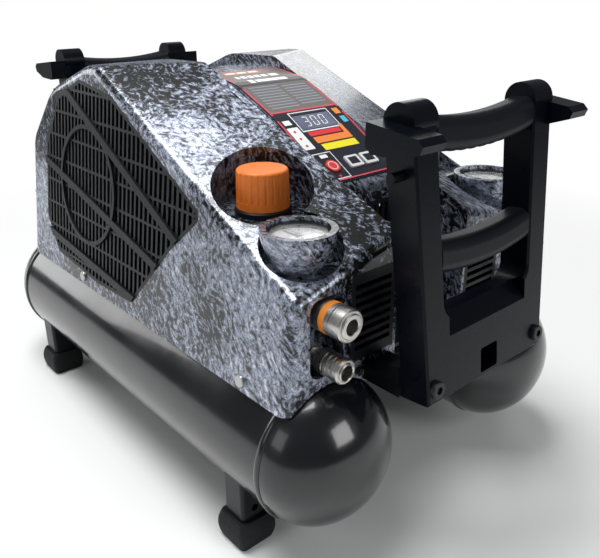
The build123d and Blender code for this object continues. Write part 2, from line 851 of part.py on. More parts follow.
with BuildPart() as collar:
    with Locations((-bowl_x, -bowl_y, bowl_floor)):
        Cylinder(knob_radius + 1.5, collar_height, align=(Align.CENTER, Align.CENTER, Align.MIN))
        Cylinder(knob_stem_radius + contact, 3 * collar_height, mode=Mode.SUBTRACT)
    chamfer(collar.edges().group_by(Axis.Z)[-1].sort_by(SortBy.RADIUS)[-1], 1)
save(both_sides(collar.part), "knob_collars")


def knob_form(x):
    """Fluted pull-and-turn knob on the regulator stem."""
    base = bowl_floor + collar_height + slide_fit
    with BuildPart() as knob:
        with BuildSketch(Plane.XY.offset(base)):
            with Locations((x, -bowl_y)):
                Circle(knob_radius)
        extrude(amount=knob_height, taper=1.5)
        fillet(knob.faces().sort_by(Axis.Z)[-1].edges(), 2.5)
        with Locations((x, -bowl_y, base + knob_height * 0.2)):
            with PolarLocations(knob_radius + 0.7, knob_flutes):
                Cylinder(1.8, knob_height, align=(Align.CENTER, Align.CENTER, Align.MIN),
                         mode=Mode.SUBTRACT)
        with Locations((x, -bowl_y, base)):
            Cylinder(knob_stem_radius + shaft_fit, knob_height * 0.5 + collar_height,
                     align=(Align.CENTER, Align.CENTER, Align.MIN), mode=Mode.SUBTRACT)
    return knob.part


save(knob_form(-bowl_x), "regulator_knob_left")
save(knob_form(bowl_x), "regulator_knob_right")

dial_level = cup_rim - 8.5
needle_level = dial_level + 1.0 + slide_fit
with BuildPart() as gauge_case:
    with Locations((-cup_x, -cup_y, gauge_seat)):
        Cylinder(gauge_radius - seat_fit, cup_rim - 3.0 - gauge_seat,
                 align=(Align.CENTER, Align.CENTER, Align.MIN))
    with Locations((-cup_x, -cup_y, dial_level)):
        Cylinder(gauge_radius - 2.2, 20, align=(Align.CENTER, Align.CENTER, Align.MIN),
                 mode=Mode.SUBTRACT)
    with Locations((-cup_x, -cup_y, manifold_head)):
        Cylinder(gauge_stem_radius, gauge_seat - manifold_head,
                 align=(Align.CENTER, Align.CENTER, Align.MIN))
    with Locations((-cup_x, -cup_y, dial_level)):
        Cylinder(1.0, 2.6, align=(Align.CENTER, Align.CENTER, Align.MIN))
save(both_sides(gauge_case.part), "gauge_cases")

with BuildPart() as gauge_dial:
    with Locations((-cup_x, -cup_y, dial_level)):
        Cylinder(gauge_radius - 2.2 - seat_fit, 1.0, align=(Align.CENTER, Align.CENTER, Align.MIN))
        Cylinder(1.0 + seat_fit, 4, mode=Mode.SUBTRACT)
save(both_sides(gauge_dial.part), "gauge_dials")

with BuildPart() as gauge_lens:
    with Locations((-cup_x, -cup_y, cup_rim - 3.8 - lens_thickness / 2)):
        Cylinder(gauge_radius - 2.2 - contact, lens_thickness)
save(both_sides(gauge_lens.part), "gauge_lenses")


def needle_form(x):
    """Tapered needle with a hub on the gauge pin."""
    with BuildPart() as needle:
        with BuildSketch(Plane.XY.offset(needle_level)):
            with Locations((x, -cup_y)):
                Circle(2.4)
            with BuildLine():
                Polyline((x - 0.9, -cup_y - 5), (x + 0.9, -cup_y - 5),
                         (x + 0.3, -cup_y + gauge_radius - 6), (x - 0.3, -cup_y + gauge_radius - 6),
                         close=True)
            make_face()
            with Locations((x, -cup_y)):
                Circle(1.0 + shaft_fit, mode=Mode.SUBTRACT)
        extrude(amount=0.8)
    return needle.part


save(needle_form(-cup_x), "gauge_needle_left")
save(needle_form(cup_x), "gauge_needle_right")


def coupler_place(index):
    """Frame of a left coupler: origin on the manifold face, Z pointing forward."""
    return Plane(origin=(-port_x, -manifold_front, port_heights[index]), x_dir=(1, 0, 0),
                 z_dir=(0, -1, 0))


def coupler_body(index):
    """Nipple, hex and socket tube of one coupler."""
    barrel = sleeve_radii[index] - 2.6
    with BuildPart() as body:
        with BuildSketch():
            Circle(port_shank_radius)
        extrude(amount=cover_wall + 2)
        with BuildSketch(Plane.XY.offset(cover_wall + 2)):
            RegularPolygon(min(hex_size, sleeve_radii[index] - 0.5), 6)
        extrude(amount=9)
        with BuildSketch(Plane.XY.offset(cover_wall + 11)):
            Circle(barrel)
        extrude(amount=body_lengths[index] - cover_wall - 11)
        with BuildSketch(Plane.XY.offset(body_lengths[index])):
            Circle(socket_radius)
        extrude(amount=-socket_depth, mode=Mode.SUBTRACT)
        chamfer(body.edges().group_by(Axis.Z)[-1], 0.6)
    return coupler_place(index) * body.part


def coupler_sleeve(index):
    """Sliding grip sleeve round the socket tube, with finger grooves."""
    outer = sleeve_radii[index]
    barrel = outer - 2.6
    start = body_lengths[index] - sleeve_lengths[index] - 1.5
    with BuildPart() as sleeve:
        with BuildSketch(Plane.XY.offset(start)):
            Circle(outer)
            Circle(barrel + shaft_fit, mode=Mode.SUBTRACT)
        extrude(amount=sleeve_lengths[index])
        grooves = (0.32, 0.62) if index == 0 else (0.3, 0.48, 0.66)
        for share in grooves:
            with BuildSketch(Plane.XY.offset(start + share * sleeve_lengths[index])):
                Circle(outer + 1)
                Circle(outer - 0.8, mode=Mode.SUBTRACT)
            extrude(amount=5 if index == 0 and share == grooves[0] else 1.2, mode=Mode.SUBTRACT)
        chamfer([e for e in sleeve.edges().group_by(Axis.Z)[-1] if e.radius > outer - 1], 1.0)
    return coupler_place(index) * sleeve.part


band_start = body_lengths[0] - sleeve_lengths[0] - 1.5 + 0.32 * sleeve_lengths[0]
with BuildPart() as band:
    with BuildSketch(Plane.XY.offset(band_start + contact)):
        Circle(sleeve_radii[0] + 0.1)
        Circle(sleeve_radii[0] - 0.8 + contact, mode=Mode.SUBTRACT)
    extrude(amount=5 - 2 * contact)
band_left = coupler_place(0) * band.part

bodies = [coupler_body(0), coupler_body(1)]
save(Compound(children=bodies + [mirror(b, about=Plane.YZ) for b in bodies]), "coupler_bodies")
for index, level in ((0, "upper"), (1, "lower")):
    sleeve = coupler_sleeve(index)
    rings = [sleeve, band_left] if index == 0 else [sleeve]
    save(Compound(children=rings), f"sleeve_{level}_left")
    save(Compound(children=[mirror(r, about=Plane.YZ) for r in rings]), f"sleeve_{level}_right")

# --- carrying handles -----------------------------------------------------
lean = radians(handle_lean)
handle_plane = Plane(origin=(0, -handle_front, handle_bottom), x_dir=(1, 0, 0),
                     z_dir=(0, -cos(lean), sin(lean)))


def on_handle(height, depth):
    """World y and z of a point of the handle, from its height and depth behind the face."""
    return (-handle_front + height * sin(lean) + depth * cos(lean),
            handle_bottom + height * cos(lean) - depth * sin(lean))


inner_foot = post_foot_half - post_width_foot
inner_head = post_head_half - post_width_head
inner_sill = inner_foot + (inner_head - inner_foot) * crossbar_height / post_length
knuckle_y, knuckle_z = on_handle(post_length, handle_depth / 2)

with BuildPart() as handle:
    with BuildSketch(handle_plane) as ladder:
        with BuildLine():
            Polyline((-post_foot_half, 0), (post_foot_half, 0), (post_head_half, post_length),
                     (inner_head, post_length), (inner_sill, crossbar_height),
                     (-inner_sill, crossbar_height), (-inner_head, post_length),
                     (-post_head_half, post_length), close=True)
        make_face()
        corners = ladder.vertices()
        fillet([v for v in corners if abs(v.Y - crossbar_height) < 1], window_round)
        fillet([v for v in corners if v.Y < 1], 10)
        with Locations((0, 14)):
            RectangleRounded(21, 20, 2, mode=Mode.SUBTRACT)
        for side in (-1, 1):
            with Locations((side * bolt_x, bolt_level)):
                Circle(bolt_radius + seat_fit, mode=Mode.SUBTRACT)
    extrude(amount=-handle_depth)
    chamfer(handle.faces().sort_by(Axis.Y)[0].outer_wire().edges(), 1.6)
    with BuildSketch(side_plane(-inner_foot + 2)):
        with BuildLine():
            Polyline(on_handle(crossbar_height - crossbar_slope, -2),
                     on_handle(crossbar_height + 0.5, crossbar_slope * 0.8),
                     on_handle(crossbar_height + 8, -2), close=True)
        make_face()
    extrude(amount=2 * inner_foot - 4, mode=Mode.SUBTRACT)
    for side in (-1, 1):
        with Locations(Pos(side * (post_head_half + inner_head) / 2, knuckle_y, knuckle_z)
                       * Rot(0, 90, 0)):
            Cylinder(knuckle_radius, post_width_head)
        with BuildSketch(side_plane(side * (post_head_half + horn_reach - 6) / 2)):
            with BuildLine():
                Polyline((-242, 336), (-284, 331), (-288, 327), (-286, 322), (-270, 316.5),
                         (-247, 316), (-242, 320), close=True)
            make_face()
        extrude(amount=(horn_reach - post_head_half + 6) / 2, both=True)
        with Locations(Pos(side * (post_head_half + 4), knuckle_y - 4, knuckle_z - 33)
                       * Rot(0, 90, 0)):
            Cylinder(3.5, 12)
save(handle.part, "front_handle")
rear_handle = mirror(handle.part, about=Plane.XZ)
save(rear_handle, "rear_handle")


def post_gap(height):
    """Half the clear width between the posts at a height up the handle."""
    share = (height - crossbar_height) / (post_length - crossbar_height)
    return min(inner_sill + (inner_head - inner_sill) * share, inner_head) - contact


def grip_form(level):
    """Bowed hand grip between the posts, with two rows of pockets under it."""
    low = level - grip_height / 2
    high = level + grip_height / 2
    with BuildPart() as grip:
        with BuildSketch(handle_plane.offset((grip_depth - handle_depth) / 2)):
            with BuildLine():
                ThreePointArc((-post_gap(low), low), (0, low - grip_sag), (post_gap(low), low))
                Line((post_gap(low), low), (post_gap(high), high))
                ThreePointArc((post_gap(high), high), (0, high - grip_sag),
                              (-post_gap(high), high))
                Line((-post_gap(high), high), (-post_gap(low), low))
            make_face()
        extrude(amount=-grip_depth)
        fillet(grip.edges().filter_by(GeomType.CIRCLE), grip_round)
        y, z = on_handle(low - grip_sag, handle_depth / 2)
        for row in (-1, 1):
            with Locations((0, y + row * pocket_row, z)):
                with GridLocations(pocket_pitch, 1, pocket_count, 1):
                    Box(pocket_pitch - 3, pocket_row + 1, 2 * pocket_depth, mode=Mode.SUBTRACT)
    return grip.part


for level, name in ((upper_grip_level, "upper"), (lower_grip_level, "lower")):
    grip = grip_form(level)
    save(both_ends(grip), f"{name}_grips")

# --- handle arms and bolts --------------------------------------------------

back_face = handle_plane.offset(-handle_depth - contact)
arm_floor = deck_height - arm_thickness
with BuildPart() as arm:
    with Locations((-arm_x, -(arm_root + handle_front) / 2, arm_floor + arm_thickness / 2)):
        Box(arm_width, handle_front - arm_root, arm_thickness)
    with Locations((-arm_x, -handle_front + handle_depth + pad_depth / 2 - 6,
                    arm_floor + pad_height / 2)):
        Box(arm_width, pad_depth + 12, pad_height)
    split(bisect_by=back_face, keep=Keep.BOTTOM)
    add(tank_room.part, mode=Mode.SUBTRACT)
    with BuildSketch(handle_plane):
        with Locations((-bolt_x, bolt_level)):
            Circle(bolt_radius + seat_fit)
    extrude(amount=-2 * handle_depth, mode=Mode.SUBTRACT)

with BuildPart() as handle_bolt:
    with BuildSketch(handle_plane):
        with Locations((-bolt_x, bolt_level)):
            Circle(bolt_head_radius)
    extrude(amount=bolt_head_height)
    fillet(handle_bolt.faces().sort_by(Axis.Y)[0].edges(), 1.2)
    with BuildSketch(handle_plane.offset(bolt_head_height)):
        with Locations((-bolt_x, bolt_level)):
            RegularPolygon(3.2, 6)
    extrude(amount=-bolt_head_height * 0.6, mode=Mode.SUBTRACT)
    with BuildSketch(handle_plane):
        with Locations((-bolt_x, bolt_level)):
            Circle(bolt_radius)
    extrude(amount=-handle_depth - pad_depth + 1)
save(both_ends(both_sides(handle_bolt.part)), "handle_bolts")

# --- rotor, stator and motor housing ----------------------------------------
pump_axis = Pos(0, pump_y, pump_height) * Rot(0, 90, 0)
shaft_line = Plane(origin=(0, pump_y, pump_height), x_dir=(0, 0, -1), z_dir=(1, 0, 0))


def along_shaft(radius, near, far, bore=0.0):
    """Disc or ring on the pump shaft from x = near to x = far."""
    with BuildPart() as ring:
        with BuildSketch(shaft_line.offset(near)):
            Circle(radius)
            if bore:
                Circle(bore, mode=Mode.SUBTRACT)
        extrude(amount=far - near)
    return ring.part


half_stack = stator_length / 2
housing_radius = stator_radius + contact + housing_wall
with BuildPart() as motor_housing:
    add(along_shaft(housing_radius, -half_stack, half_stack))
    with Locations((0, pump_y, (deck_top + pump_height - 30) / 2)):
        Box(stator_length, 70, pump_height - 30 - deck_top)
    for index in range(5):
        add(along_shaft(housing_radius + 3, -26 + 12 * index, -22 + 12 * index))
    with Locations(pump_axis):
        Cylinder(stator_radius + contact, 2 * stator_length, mode=Mode.SUBTRACT)
save(motor_housing.part, "motor_housing")

with BuildPart() as bell:
    add(along_shaft(housing_radius, half_stack + contact, half_stack + bell_thickness))
    with Locations(pump_axis):
        Cylinder(bearing_radius + contact, 4 * stator_length, mode=Mode.SUBTRACT)
    with BuildSketch(shaft_line.offset(half_stack + bell_thickness)):
        with PolarLocations(32, 6):
            Circle(7)
    extrude(amount=-bell_thickness, mode=Mode.SUBTRACT)

bearing_form = along_shaft(bearing_radius, half_stack + contact,
                           half_stack + contact + bearing_width - 1, shaft_radius + shaft_fit)
carriers = [bell.part, bearing_form]
save(Compound(children=carriers + [mirror(p, about=Plane.YZ) for p in carriers]), "end_bells")

with BuildPart() as stator:
    add(along_shaft(stator_radius, -half_stack + 8, half_stack - 8, rotor_radius + air_gap))
    for side in (-1, 1):
        near = (half_stack - 8) * side
        add(along_shaft(stator_radius - 5, min(near, near + 7 * side), max(near, near + 7 * side),
                        rotor_radius + 5))
save(stator.part, "stator")

with BuildPart() as rotor:
    add(along_shaft(rotor_radius, -half_stack + 8, half_stack - 8))
    add(along_shaft(shaft_radius, -shaft_half_length, shaft_half_length))
    for side in (-1, 1):
        near = side * (shaft_half_length - disc_thickness)
        far = side * shaft_half_length
        add(along_shaft(disc_radius, min(near, far), max(near, far)))
        with Locations(Pos(side * (shaft_half_length + pin_length / 2), pump_y - crank_radius,
                           pump_height) * Rot(0, 90, 0)):
            Cylinder(pin_radius, pin_length)
save(rotor.part, "motor_rotor")

# --- crankcases, pistons and heads ------------------------------------------
rod_x = shaft_half_length + pin_length + rod_gap + rod_thickness / 2
piston_crown = pump_y - crank_radius - rod_length - piston_length
bore_line = Plane(origin=(rod_x, cylinder_front, pump_height), x_dir=(1, 0, 0), z_dir=(0, 1, 0))

with BuildPart() as crankcase:
    add(along_shaft(case_radius, case_near, case_far))
    with BuildSketch(bore_line):
        Circle(piston_radius + cylinder_wall)
    extrude(amount=pump_y - case_radius - cylinder_front + 8)
    with BuildSketch(bore_line):
        RectangleRounded(flange_side, flange_side, 4)
    extrude(amount=flange_thickness)
    with Locations(((case_near + case_far) / 2, pump_y, (deck_top + pump_height - 30) / 2)):
        Box(case_far - case_near, 44, pump_height - 30 - deck_top)
    add(along_shaft(disc_radius + 4, half_stack + bell_thickness + contact, case_near + 1))
    add(along_shaft(case_radius - case_wall, case_near + case_wall, case_far - case_wall),
        mode=Mode.SUBTRACT)
    add(along_shaft(shaft_radius + 1, 0, case_far - case_wall), mode=Mode.SUBTRACT)
    with BuildSketch(bore_line):
        Circle(piston_radius + shaft_fit)
        with GridLocations(2 * head_bolt_reach, 2 * head_bolt_reach, 2, 2):
            Circle(head_bolt_radius + seat_fit)
    extrude(amount=flange_thickness, mode=Mode.SUBTRACT)
    with BuildSketch(bore_line):
        Circle(piston_radius + shaft_fit)
    extrude(amount=pump_y - case_radius - cylinder_front + 8, mode=Mode.SUBTRACT)
crankcase_right = crankcase.part.solids().sort_by(SortBy.VOLUME)[-1]
save(Compound(children=[crankcase_right, mirror(crankcase_right, about=Plane.YZ)]),
     "crankcases")

with BuildPart() as piston:
    with BuildSketch(Plane(origin=(rod_x, piston_crown, pump_height), x_dir=(1, 0, 0),
                           z_dir=(0, 1, 0))):
        Circle(piston_radius)
    extrude(amount=piston_length)
    with Locations((rod_x, piston_crown + piston_length + rod_length / 2, pump_height)):
        Box(rod_thickness, rod_length, 11)
    with Locations(Pos(rod_x, pump_y - crank_radius, pump_height) * Rot(0, 90, 0)):
        Cylinder(pin_radius + 5, rod_thickness)
        Cylinder(pin_radius + slide_fit, 2 * rod_thickness, mode=Mode.SUBTRACT)
save(piston.part, "piston_right")
save(mirror(piston.part, about=Plane.YZ), "piston_left")

with BuildPart() as head:
    with BuildSketch(bore_line.offset(-contact)):
        RectangleRounded(flange_side, flange_side, 4)
    extrude(amount=-head_length)
    with BuildSketch(bore_line.offset(-head_length - contact)):
        with GridLocations(0, 7, 1, 5):
            Rectangle(30, 3.5)
    extrude(amount=8, mode=Mode.SUBTRACT)
    with BuildSketch(bore_line.offset(-contact)):
        Circle(piston_radius - 3)
    extrude(amount=-6, mode=Mode.SUBTRACT)
    with BuildSketch(bore_line):
        with GridLocations(2 * head_bolt_reach, 2 * head_bolt_reach, 2, 2):
            Circle(head_bolt_radius + seat_fit)
    extrude(amount=-2 * head_length, mode=Mode.SUBTRACT)
save(both_sides(head.part), "cylinder_heads")

with BuildPart() as head_bolt:
    with BuildSketch(bore_line.offset(-head_length - contact)):
        with Locations((head_bolt_reach, head_bolt_reach)):
            RegularPolygon(head_bolt_radius + 2, 6)
    extrude(amount=-3)
    with BuildSketch(bore_line.offset(-head_length - contact)):
        with Locations((head_bolt_reach, head_bolt_reach)):
            Circle(head_bolt_radius)
    extrude(amount=head_length + flange_thickness)
bolts = [Pos(dx, 0, dz) * head_bolt.part for dx in (0, -2 * head_bolt_reach)
         for dz in (0, 2 * head_bolt_reach)]
save(Compound(children=bolts + [mirror(b, about=Plane.YZ) for b in bolts]), "head_bolts")

# --- discharge pipes to the tanks and feed nipples to the manifolds ---------
head_floor = pump_height - flange_side / 2

with BuildPart() as discharge:
    with BuildLine() as route:
        FilletPolyline((rod_x, pipe_y, head_floor - contact), (rod_x, pipe_y, pipe_level),
                       (tank_offset, pipe_y, pipe_level), (tank_offset, pipe_y, port_top + contact),
                       radius=10)
    with BuildSketch(Plane(origin=(rod_x, pipe_y, head_floor - contact), z_dir=(0, 0, -1))):
        Circle(pipe_radius)
        Circle(pipe_radius - 1.2, mode=Mode.SUBTRACT)
    sweep()

with BuildPart() as tank_port:
    with BuildSketch(Plane.XY.offset(tank_axis_height + tank_radius - 4)):
        with Locations((tank_offset, pipe_y)):
            RegularPolygon(port_hex, 6)
            Circle(pipe_radius - 1.2, mode=Mode.SUBTRACT)
    extrude(amount=port_top - tank_axis_height - tank_radius + 4)
    add(tank_space.part, mode=Mode.SUBTRACT)
port_part = tank_port.part.solids().sort_by(Axis.Z)[-1]

with BuildPart() as nipple:
    with Locations((-port_x, -nipple_y, deck_top - contact)):
        Cylinder(nipple_radius, 40, align=(Align.CENTER, Align.CENTER, Align.MAX))
        Cylinder(3, 90, mode=Mode.SUBTRACT)
    add(tank_space.part, mode=Mode.SUBTRACT)
pipework = [discharge.part, port_part, nipple.part.solids().sort_by(Axis.Z)[-1]]
save(Compound(children=pipework + [mirror(p, about=Plane.YZ) for p in pipework]), "air_pipes")

# --- drain valve, cord gland and cover screws -------------------------------

rear_face = Plane(origin=(-valve_x, cover_rear, valve_height), x_dir=(-1, 0, 0),
                  z_dir=(0, 1, 0))
with BuildPart() as drain_valve:
    with BuildSketch(rear_face.offset(-cover_wall - contact)):
        RegularPolygon(valve_radius + 3, 6)
    extrude(amount=-22)
    with BuildSketch(rear_face.offset(-cover_wall - 1)):
        Circle(5)
    extrude(amount=cover_wall + drain_knob_gap + drain_knob_length * 0.6)
    with Locations((-valve_x, valve_y, valve_height)):
        Cylinder(valve_pipe_radius, 80, align=(Align.CENTER, Align.CENTER, Align.MAX))
    add(tank_space.part, mode=Mode.SUBTRACT)
save(drain_valve.part.solids().sort_by(Axis.Z)[-1], "drain_valve")

with BuildPart() as drain_knob:
    with BuildSketch(rear_face.offset(drain_knob_gap)):
        Circle(drain_knob_radius)
        with PolarLocations(drain_knob_radius + 1.2, 10):
            Circle(2.6, mode=Mode.SUBTRACT)
    extrude(amount=drain_knob_length)
    with BuildSketch(rear_face.offset(drain_knob_gap)):
        Circle(5 + shaft_fit)
    extrude(amount=drain_knob_length * 0.6 + 1, mode=Mode.SUBTRACT)
save(drain_knob.part, "drain_knob")

with BuildPart() as gland:
    with BuildSketch(Plane(origin=(valve_x, cover_rear + contact, gland_height),
                           x_dir=(-1, 0, 0), z_dir=(0, 1, 0))):
        RegularPolygon(gland_radius + 2, 6)
    extrude(amount=7)
    with Locations(Pos(valve_x, cover_rear + 7, gland_height) * Rot(-90, 0, 0)):
        Cone(gland_radius, gland_radius - 3, 9, align=(Align.CENTER, Align.CENTER, Align.MIN))
        Cylinder(gland_radius - 2, 2 * (7 + cover_wall + 6),
                 align=(Align.CENTER, Align.CENTER, Align.CENTER))
        Cylinder(4, 80, mode=Mode.SUBTRACT)
save(gland.part, "cord_gland")

inner_side = Plane(origin=tuple(side_root - side_facing * (cover_wall + contact)),
                   x_dir=(0, -1, 0), z_dir=tuple(side_facing))


def cover_screw(y, z):
    """Pan head screw through the leaning side of the cover."""
    with BuildPart() as screw:
        with BuildSketch(side_view):
            with Locations(on_side(y, z)):
                Circle(screw_head_radius)
        extrude(amount=screw_head_height)
        fillet(screw.faces().sort_by(Axis.X)[0].edges(), 1)
        with BuildSketch(side_view):
            with Locations(on_side(y, z)):
                Circle(screw_radius)
        extrude(amount=-cover_wall - lug_depth + 3)
    return screw.part


def cover_lug(y, z):
    """Block under the deck edge that takes a cover screw."""
    with BuildPart() as lug:
        with Locations((-cover_half_width + 6, y, (lug_floor + deck_height) / 2)):
            Box(2 * lug_depth + 6, 2 * lug_half_width, deck_height - lug_floor)
        split(bisect_by=inner_side, keep=Keep.BOTTOM)
        add(tank_space.part, mode=Mode.SUBTRACT)
        with BuildSketch(side_view):
            with Locations(on_side(y, z)):
                Circle(screw_radius + seat_fit)
        extrude(amount=-cover_wall - lug_depth + 2, mode=Mode.SUBTRACT)
    return lug.part.solids().sort_by(SortBy.VOLUME)[-1]


screws = [cover_screw(*spot) for spot in screw_spots]
lugs = [cover_lug(*spot) for spot in screw_spots]
save(Compound(children=screws + [mirror(p, about=Plane.YZ) for p in screws]), "cover_screws")
arms = [arm.part, mirror(arm.part, about=Plane.XZ)]
brackets = arms + lugs
save(Compound(children=brackets + [mirror(p, about=Plane.YZ) for p in brackets]),
     "deck_brackets")

# --- cooling fans -----------------------------------------------------------
fan_y = pump_y + 1.0
fan_height = pump_height + 4.0
fan_line = Plane(origin=(0, fan_y, fan_height), x_dir=(0, 1, 0), z_dir=(1, 0, 0))

with BuildPart() as shroud:
    with BuildSketch(fan_line.offset(fan_near - 5)):
        Circle(shroud_radius)
        Circle(shroud_radius - shroud_wall, mode=Mode.SUBTRACT)
    extrude(amount=fan_far - fan_near + 6)
    with BuildSketch(fan_line.offset(fan_motor_near)):
        Circle(fan_motor_radius)
    extrude(amount=fan_motor_far - fan_motor_near)
    with BuildSketch(fan_line.offset(fan_near - 7)):
        with PolarLocations((shroud_radius + fan_motor_radius) / 2, 4, start_angle=45):
            Rectangle(shroud_radius - fan_motor_radius + 1, 6)
    extrude(amount=4)
    with BuildSketch(fan_line.offset(fan_motor_far)):
        Circle(3)
    extrude(amount=8)
    with BuildSketch(fan_line.offset(fan_near - 5)):
        with Locations((0, -(fan_height - deck_top) / 2 - 24)):
            Rectangle(46, fan_height - deck_top - 48)
        Circle(shroud_radius - 1, mode=Mode.SUBTRACT)
    extrude(amount=12)
save(both_sides(shroud.part), "fan_shrouds")

with BuildPart() as fan:
    with BuildSketch(fan_line.offset(fan_near)):
        Circle(hub_radius)
    extrude(amount=fan_far - fan_near - 1)
    for index in range(fan_blades):
        with Locations(Pos((fan_near + fan_far) / 2, fan_y, fan_height)
                       * Rot(index * 360 / fan_blades, 0, 0)
                       * Pos(0, 0, (hub_radius + fan_radius) / 2 - 1)
                       * Rot(0, 0, blade_pitch)):
            Box(blade_thickness, blade_chord, fan_radius - hub_radius + 1)
    with BuildSketch(fan_line.offset(fan_near)):
        Circle(3 + shaft_fit)
    extrude(amount=10, mode=Mode.SUBTRACT)
save(fan.part, "fan_right")
save(mirror(fan.part, about=Plane.YZ), "fan_left")

# --- inverter, capacitors and centre nose -----------------------------------

inverter_length = inverter_front - inverter_rear
inverter_middle = -(inverter_front + inverter_rear) / 2
with BuildPart() as inverter_case:
    with Locations((0, inverter_middle, deck_top + inverter_height / 2)):
        Box(2 * inverter_half_width, inverter_length, inverter_height)
    fillet(inverter_case.edges().filter_by(Axis.Z), 4)
    top = inverter_case.faces().sort_by(Axis.Z)[-1]
    offset(amount=-2.5, openings=top)

with BuildPart() as heat_sink:
    with Locations((0, inverter_middle, deck_top + inverter_height + contact + 2)):
        Box(2 * inverter_half_width - 2, inverter_length - 2, 4)
    with Locations((0, inverter_middle, deck_top + inverter_height + contact + 10)):
        with GridLocations(9, 1, 8, 1):
            Box(2, inverter_length - 30, 14)
save(Compound(children=[inverter_case.part, heat_sink.part]), "inverter")

with BuildPart() as capacitor:
    with Locations((capacitor_x, -capacitor_y, deck_top)):
        Cylinder(capacitor_radius, capacitor_height, align=(Align.CENTER, Align.CENTER, Align.MIN))
    fillet(capacitor.faces().sort_by(Axis.Z)[-1].edges(), 1.5)
save(both_sides(capacitor.part), "capacitors")

with BuildPart() as front_nose:
    with BuildSketch(side_plane(-nose_width / 2)):
        with BuildLine():
            Polyline((-strip_front - contact, deck_top), (-strip_front - contact, nose_top),
                     (-strip_front - 12, nose_top), (-strip_front - nose_reach, nose_foot),
                     (-strip_front - nose_reach, deck_top), close=True)
        make_face()
    extrude(amount=nose_width)
    fillet(front_nose.edges().filter_by(Axis.Z).sort_by(Axis.Y)[:2], 5)
    with BuildSketch(Plane.XZ.offset(strip_front + nose_reach)):
        with Locations((0, (deck_top + nose_foot) / 2 - 3)):
            with GridLocations(5, 1, 6, 1):
                Rectangle(2.2, nose_foot - deck_top - 10)
    extrude(amount=-nose_rib, mode=Mode.SUBTRACT)
save(front_nose.part, "front_nose")
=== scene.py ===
import math

import bpy
import numpy as np
from mathutils import Matrix, Vector


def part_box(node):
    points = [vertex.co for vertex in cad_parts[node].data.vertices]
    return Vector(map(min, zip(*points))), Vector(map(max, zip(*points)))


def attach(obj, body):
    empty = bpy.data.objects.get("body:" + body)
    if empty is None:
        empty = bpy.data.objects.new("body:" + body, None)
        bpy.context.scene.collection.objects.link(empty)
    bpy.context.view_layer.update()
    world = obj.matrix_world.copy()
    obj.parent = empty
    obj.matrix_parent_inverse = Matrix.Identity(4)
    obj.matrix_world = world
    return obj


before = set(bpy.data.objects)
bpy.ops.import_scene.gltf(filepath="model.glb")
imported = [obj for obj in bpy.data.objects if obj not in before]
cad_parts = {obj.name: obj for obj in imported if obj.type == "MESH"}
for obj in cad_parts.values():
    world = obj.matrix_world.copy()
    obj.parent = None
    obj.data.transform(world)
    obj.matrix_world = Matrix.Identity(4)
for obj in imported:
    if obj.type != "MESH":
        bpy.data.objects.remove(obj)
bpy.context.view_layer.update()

# --- room -------------------------------------------------------------------
# A pale floor that runs out of sight, soft lamps above and on every side, and a
# camera low over the outlet end, as one stands beside the machine to read it.
EYE = Vector((-0.40477, -0.53486, 0.41496))
TURN, TILT = math.radians(-41.292), math.radians(22.451)
back = Vector((math.sin(TURN) * math.cos(TILT), -math.cos(TURN) * math.cos(TILT), math.sin(TILT)))
right = Vector((math.cos(TURN), math.sin(TURN), 0))
up = back.cross(right)
lens = bpy.data.cameras.new("eye")
lens.sensor_width = 36
lens.sensor_fit = "HORIZONTAL"
lens.lens = 40.92
lens.shift_x, lens.shift_y = -0.0064, -0.0227
lens.clip_start = 0.01
eye = bpy.data.objects.new("eye", lens)
bpy.context.scene.collection.objects.link(eye)
eye.matrix_world = (Matrix((right, up, back)).transposed().to_4x4()
                    @ Matrix.Rotation(math.radians(-0.295), 4, "Z"))
eye.matrix_world.translation = EYE
bpy.context.scene.camera = eye
bpy.context.scene.view_settings.view_transform = "Standard"


def lamp(name, spot, size, power):
    """Square soft lamp at spot, facing the middle of the machine."""
    data = bpy.data.lights.new(name, "AREA")
    data.size = size
    data.energy = power
    holder = bpy.data.objects.new(name, data)
    holder.location = spot
    holder.rotation_euler = (Vector((0, 0, 0.18)) - Vector(spot)).to_track_quat("-Z", "Y").to_euler()
    bpy.context.scene.collection.objects.link(holder)


lamp("lamp_above", (-0.3, 0.25, 1.9), 1.0, 34)
lamp("lamp_left", (-1.8, 0.1, 0.9), 0.8, 3)
lamp("lamp_front", (0.3, -1.9, 1.0), 0.9, 13)
lamp("lamp_right", (1.6, 1.5, 1.1), 1.0, 7)
lamp("lamp_rear", (-0.9, 1.9, 0.8), 0.9, 9)

world = bpy.data.worlds.new("studio")
world.use_nodes = True
bpy.context.scene.world = world
tree = world.node_tree
sky = tree.nodes["Background"]
sky.inputs["Color"].default_value = (0.72, 0.74, 0.76, 1)
sky.inputs["Strength"].default_value = 0.2
plain = tree.nodes.new("ShaderNodeBackground")
plain.inputs["Color"].default_value = (1, 1, 1, 1)
path = tree.nodes.new("ShaderNodeLightPath")
choose = tree.nodes.new("ShaderNodeMixShader")
tree.links.new(path.outputs["Is Camera Ray"], choose.inputs[0])
tree.links.new(sky.outputs[0], choose.inputs[1])
tree.links.new(plain.outputs[0], choose.inputs[2])
tree.links.new(choose.outputs[0], tree.nodes["World Output"].inputs["Surface"])


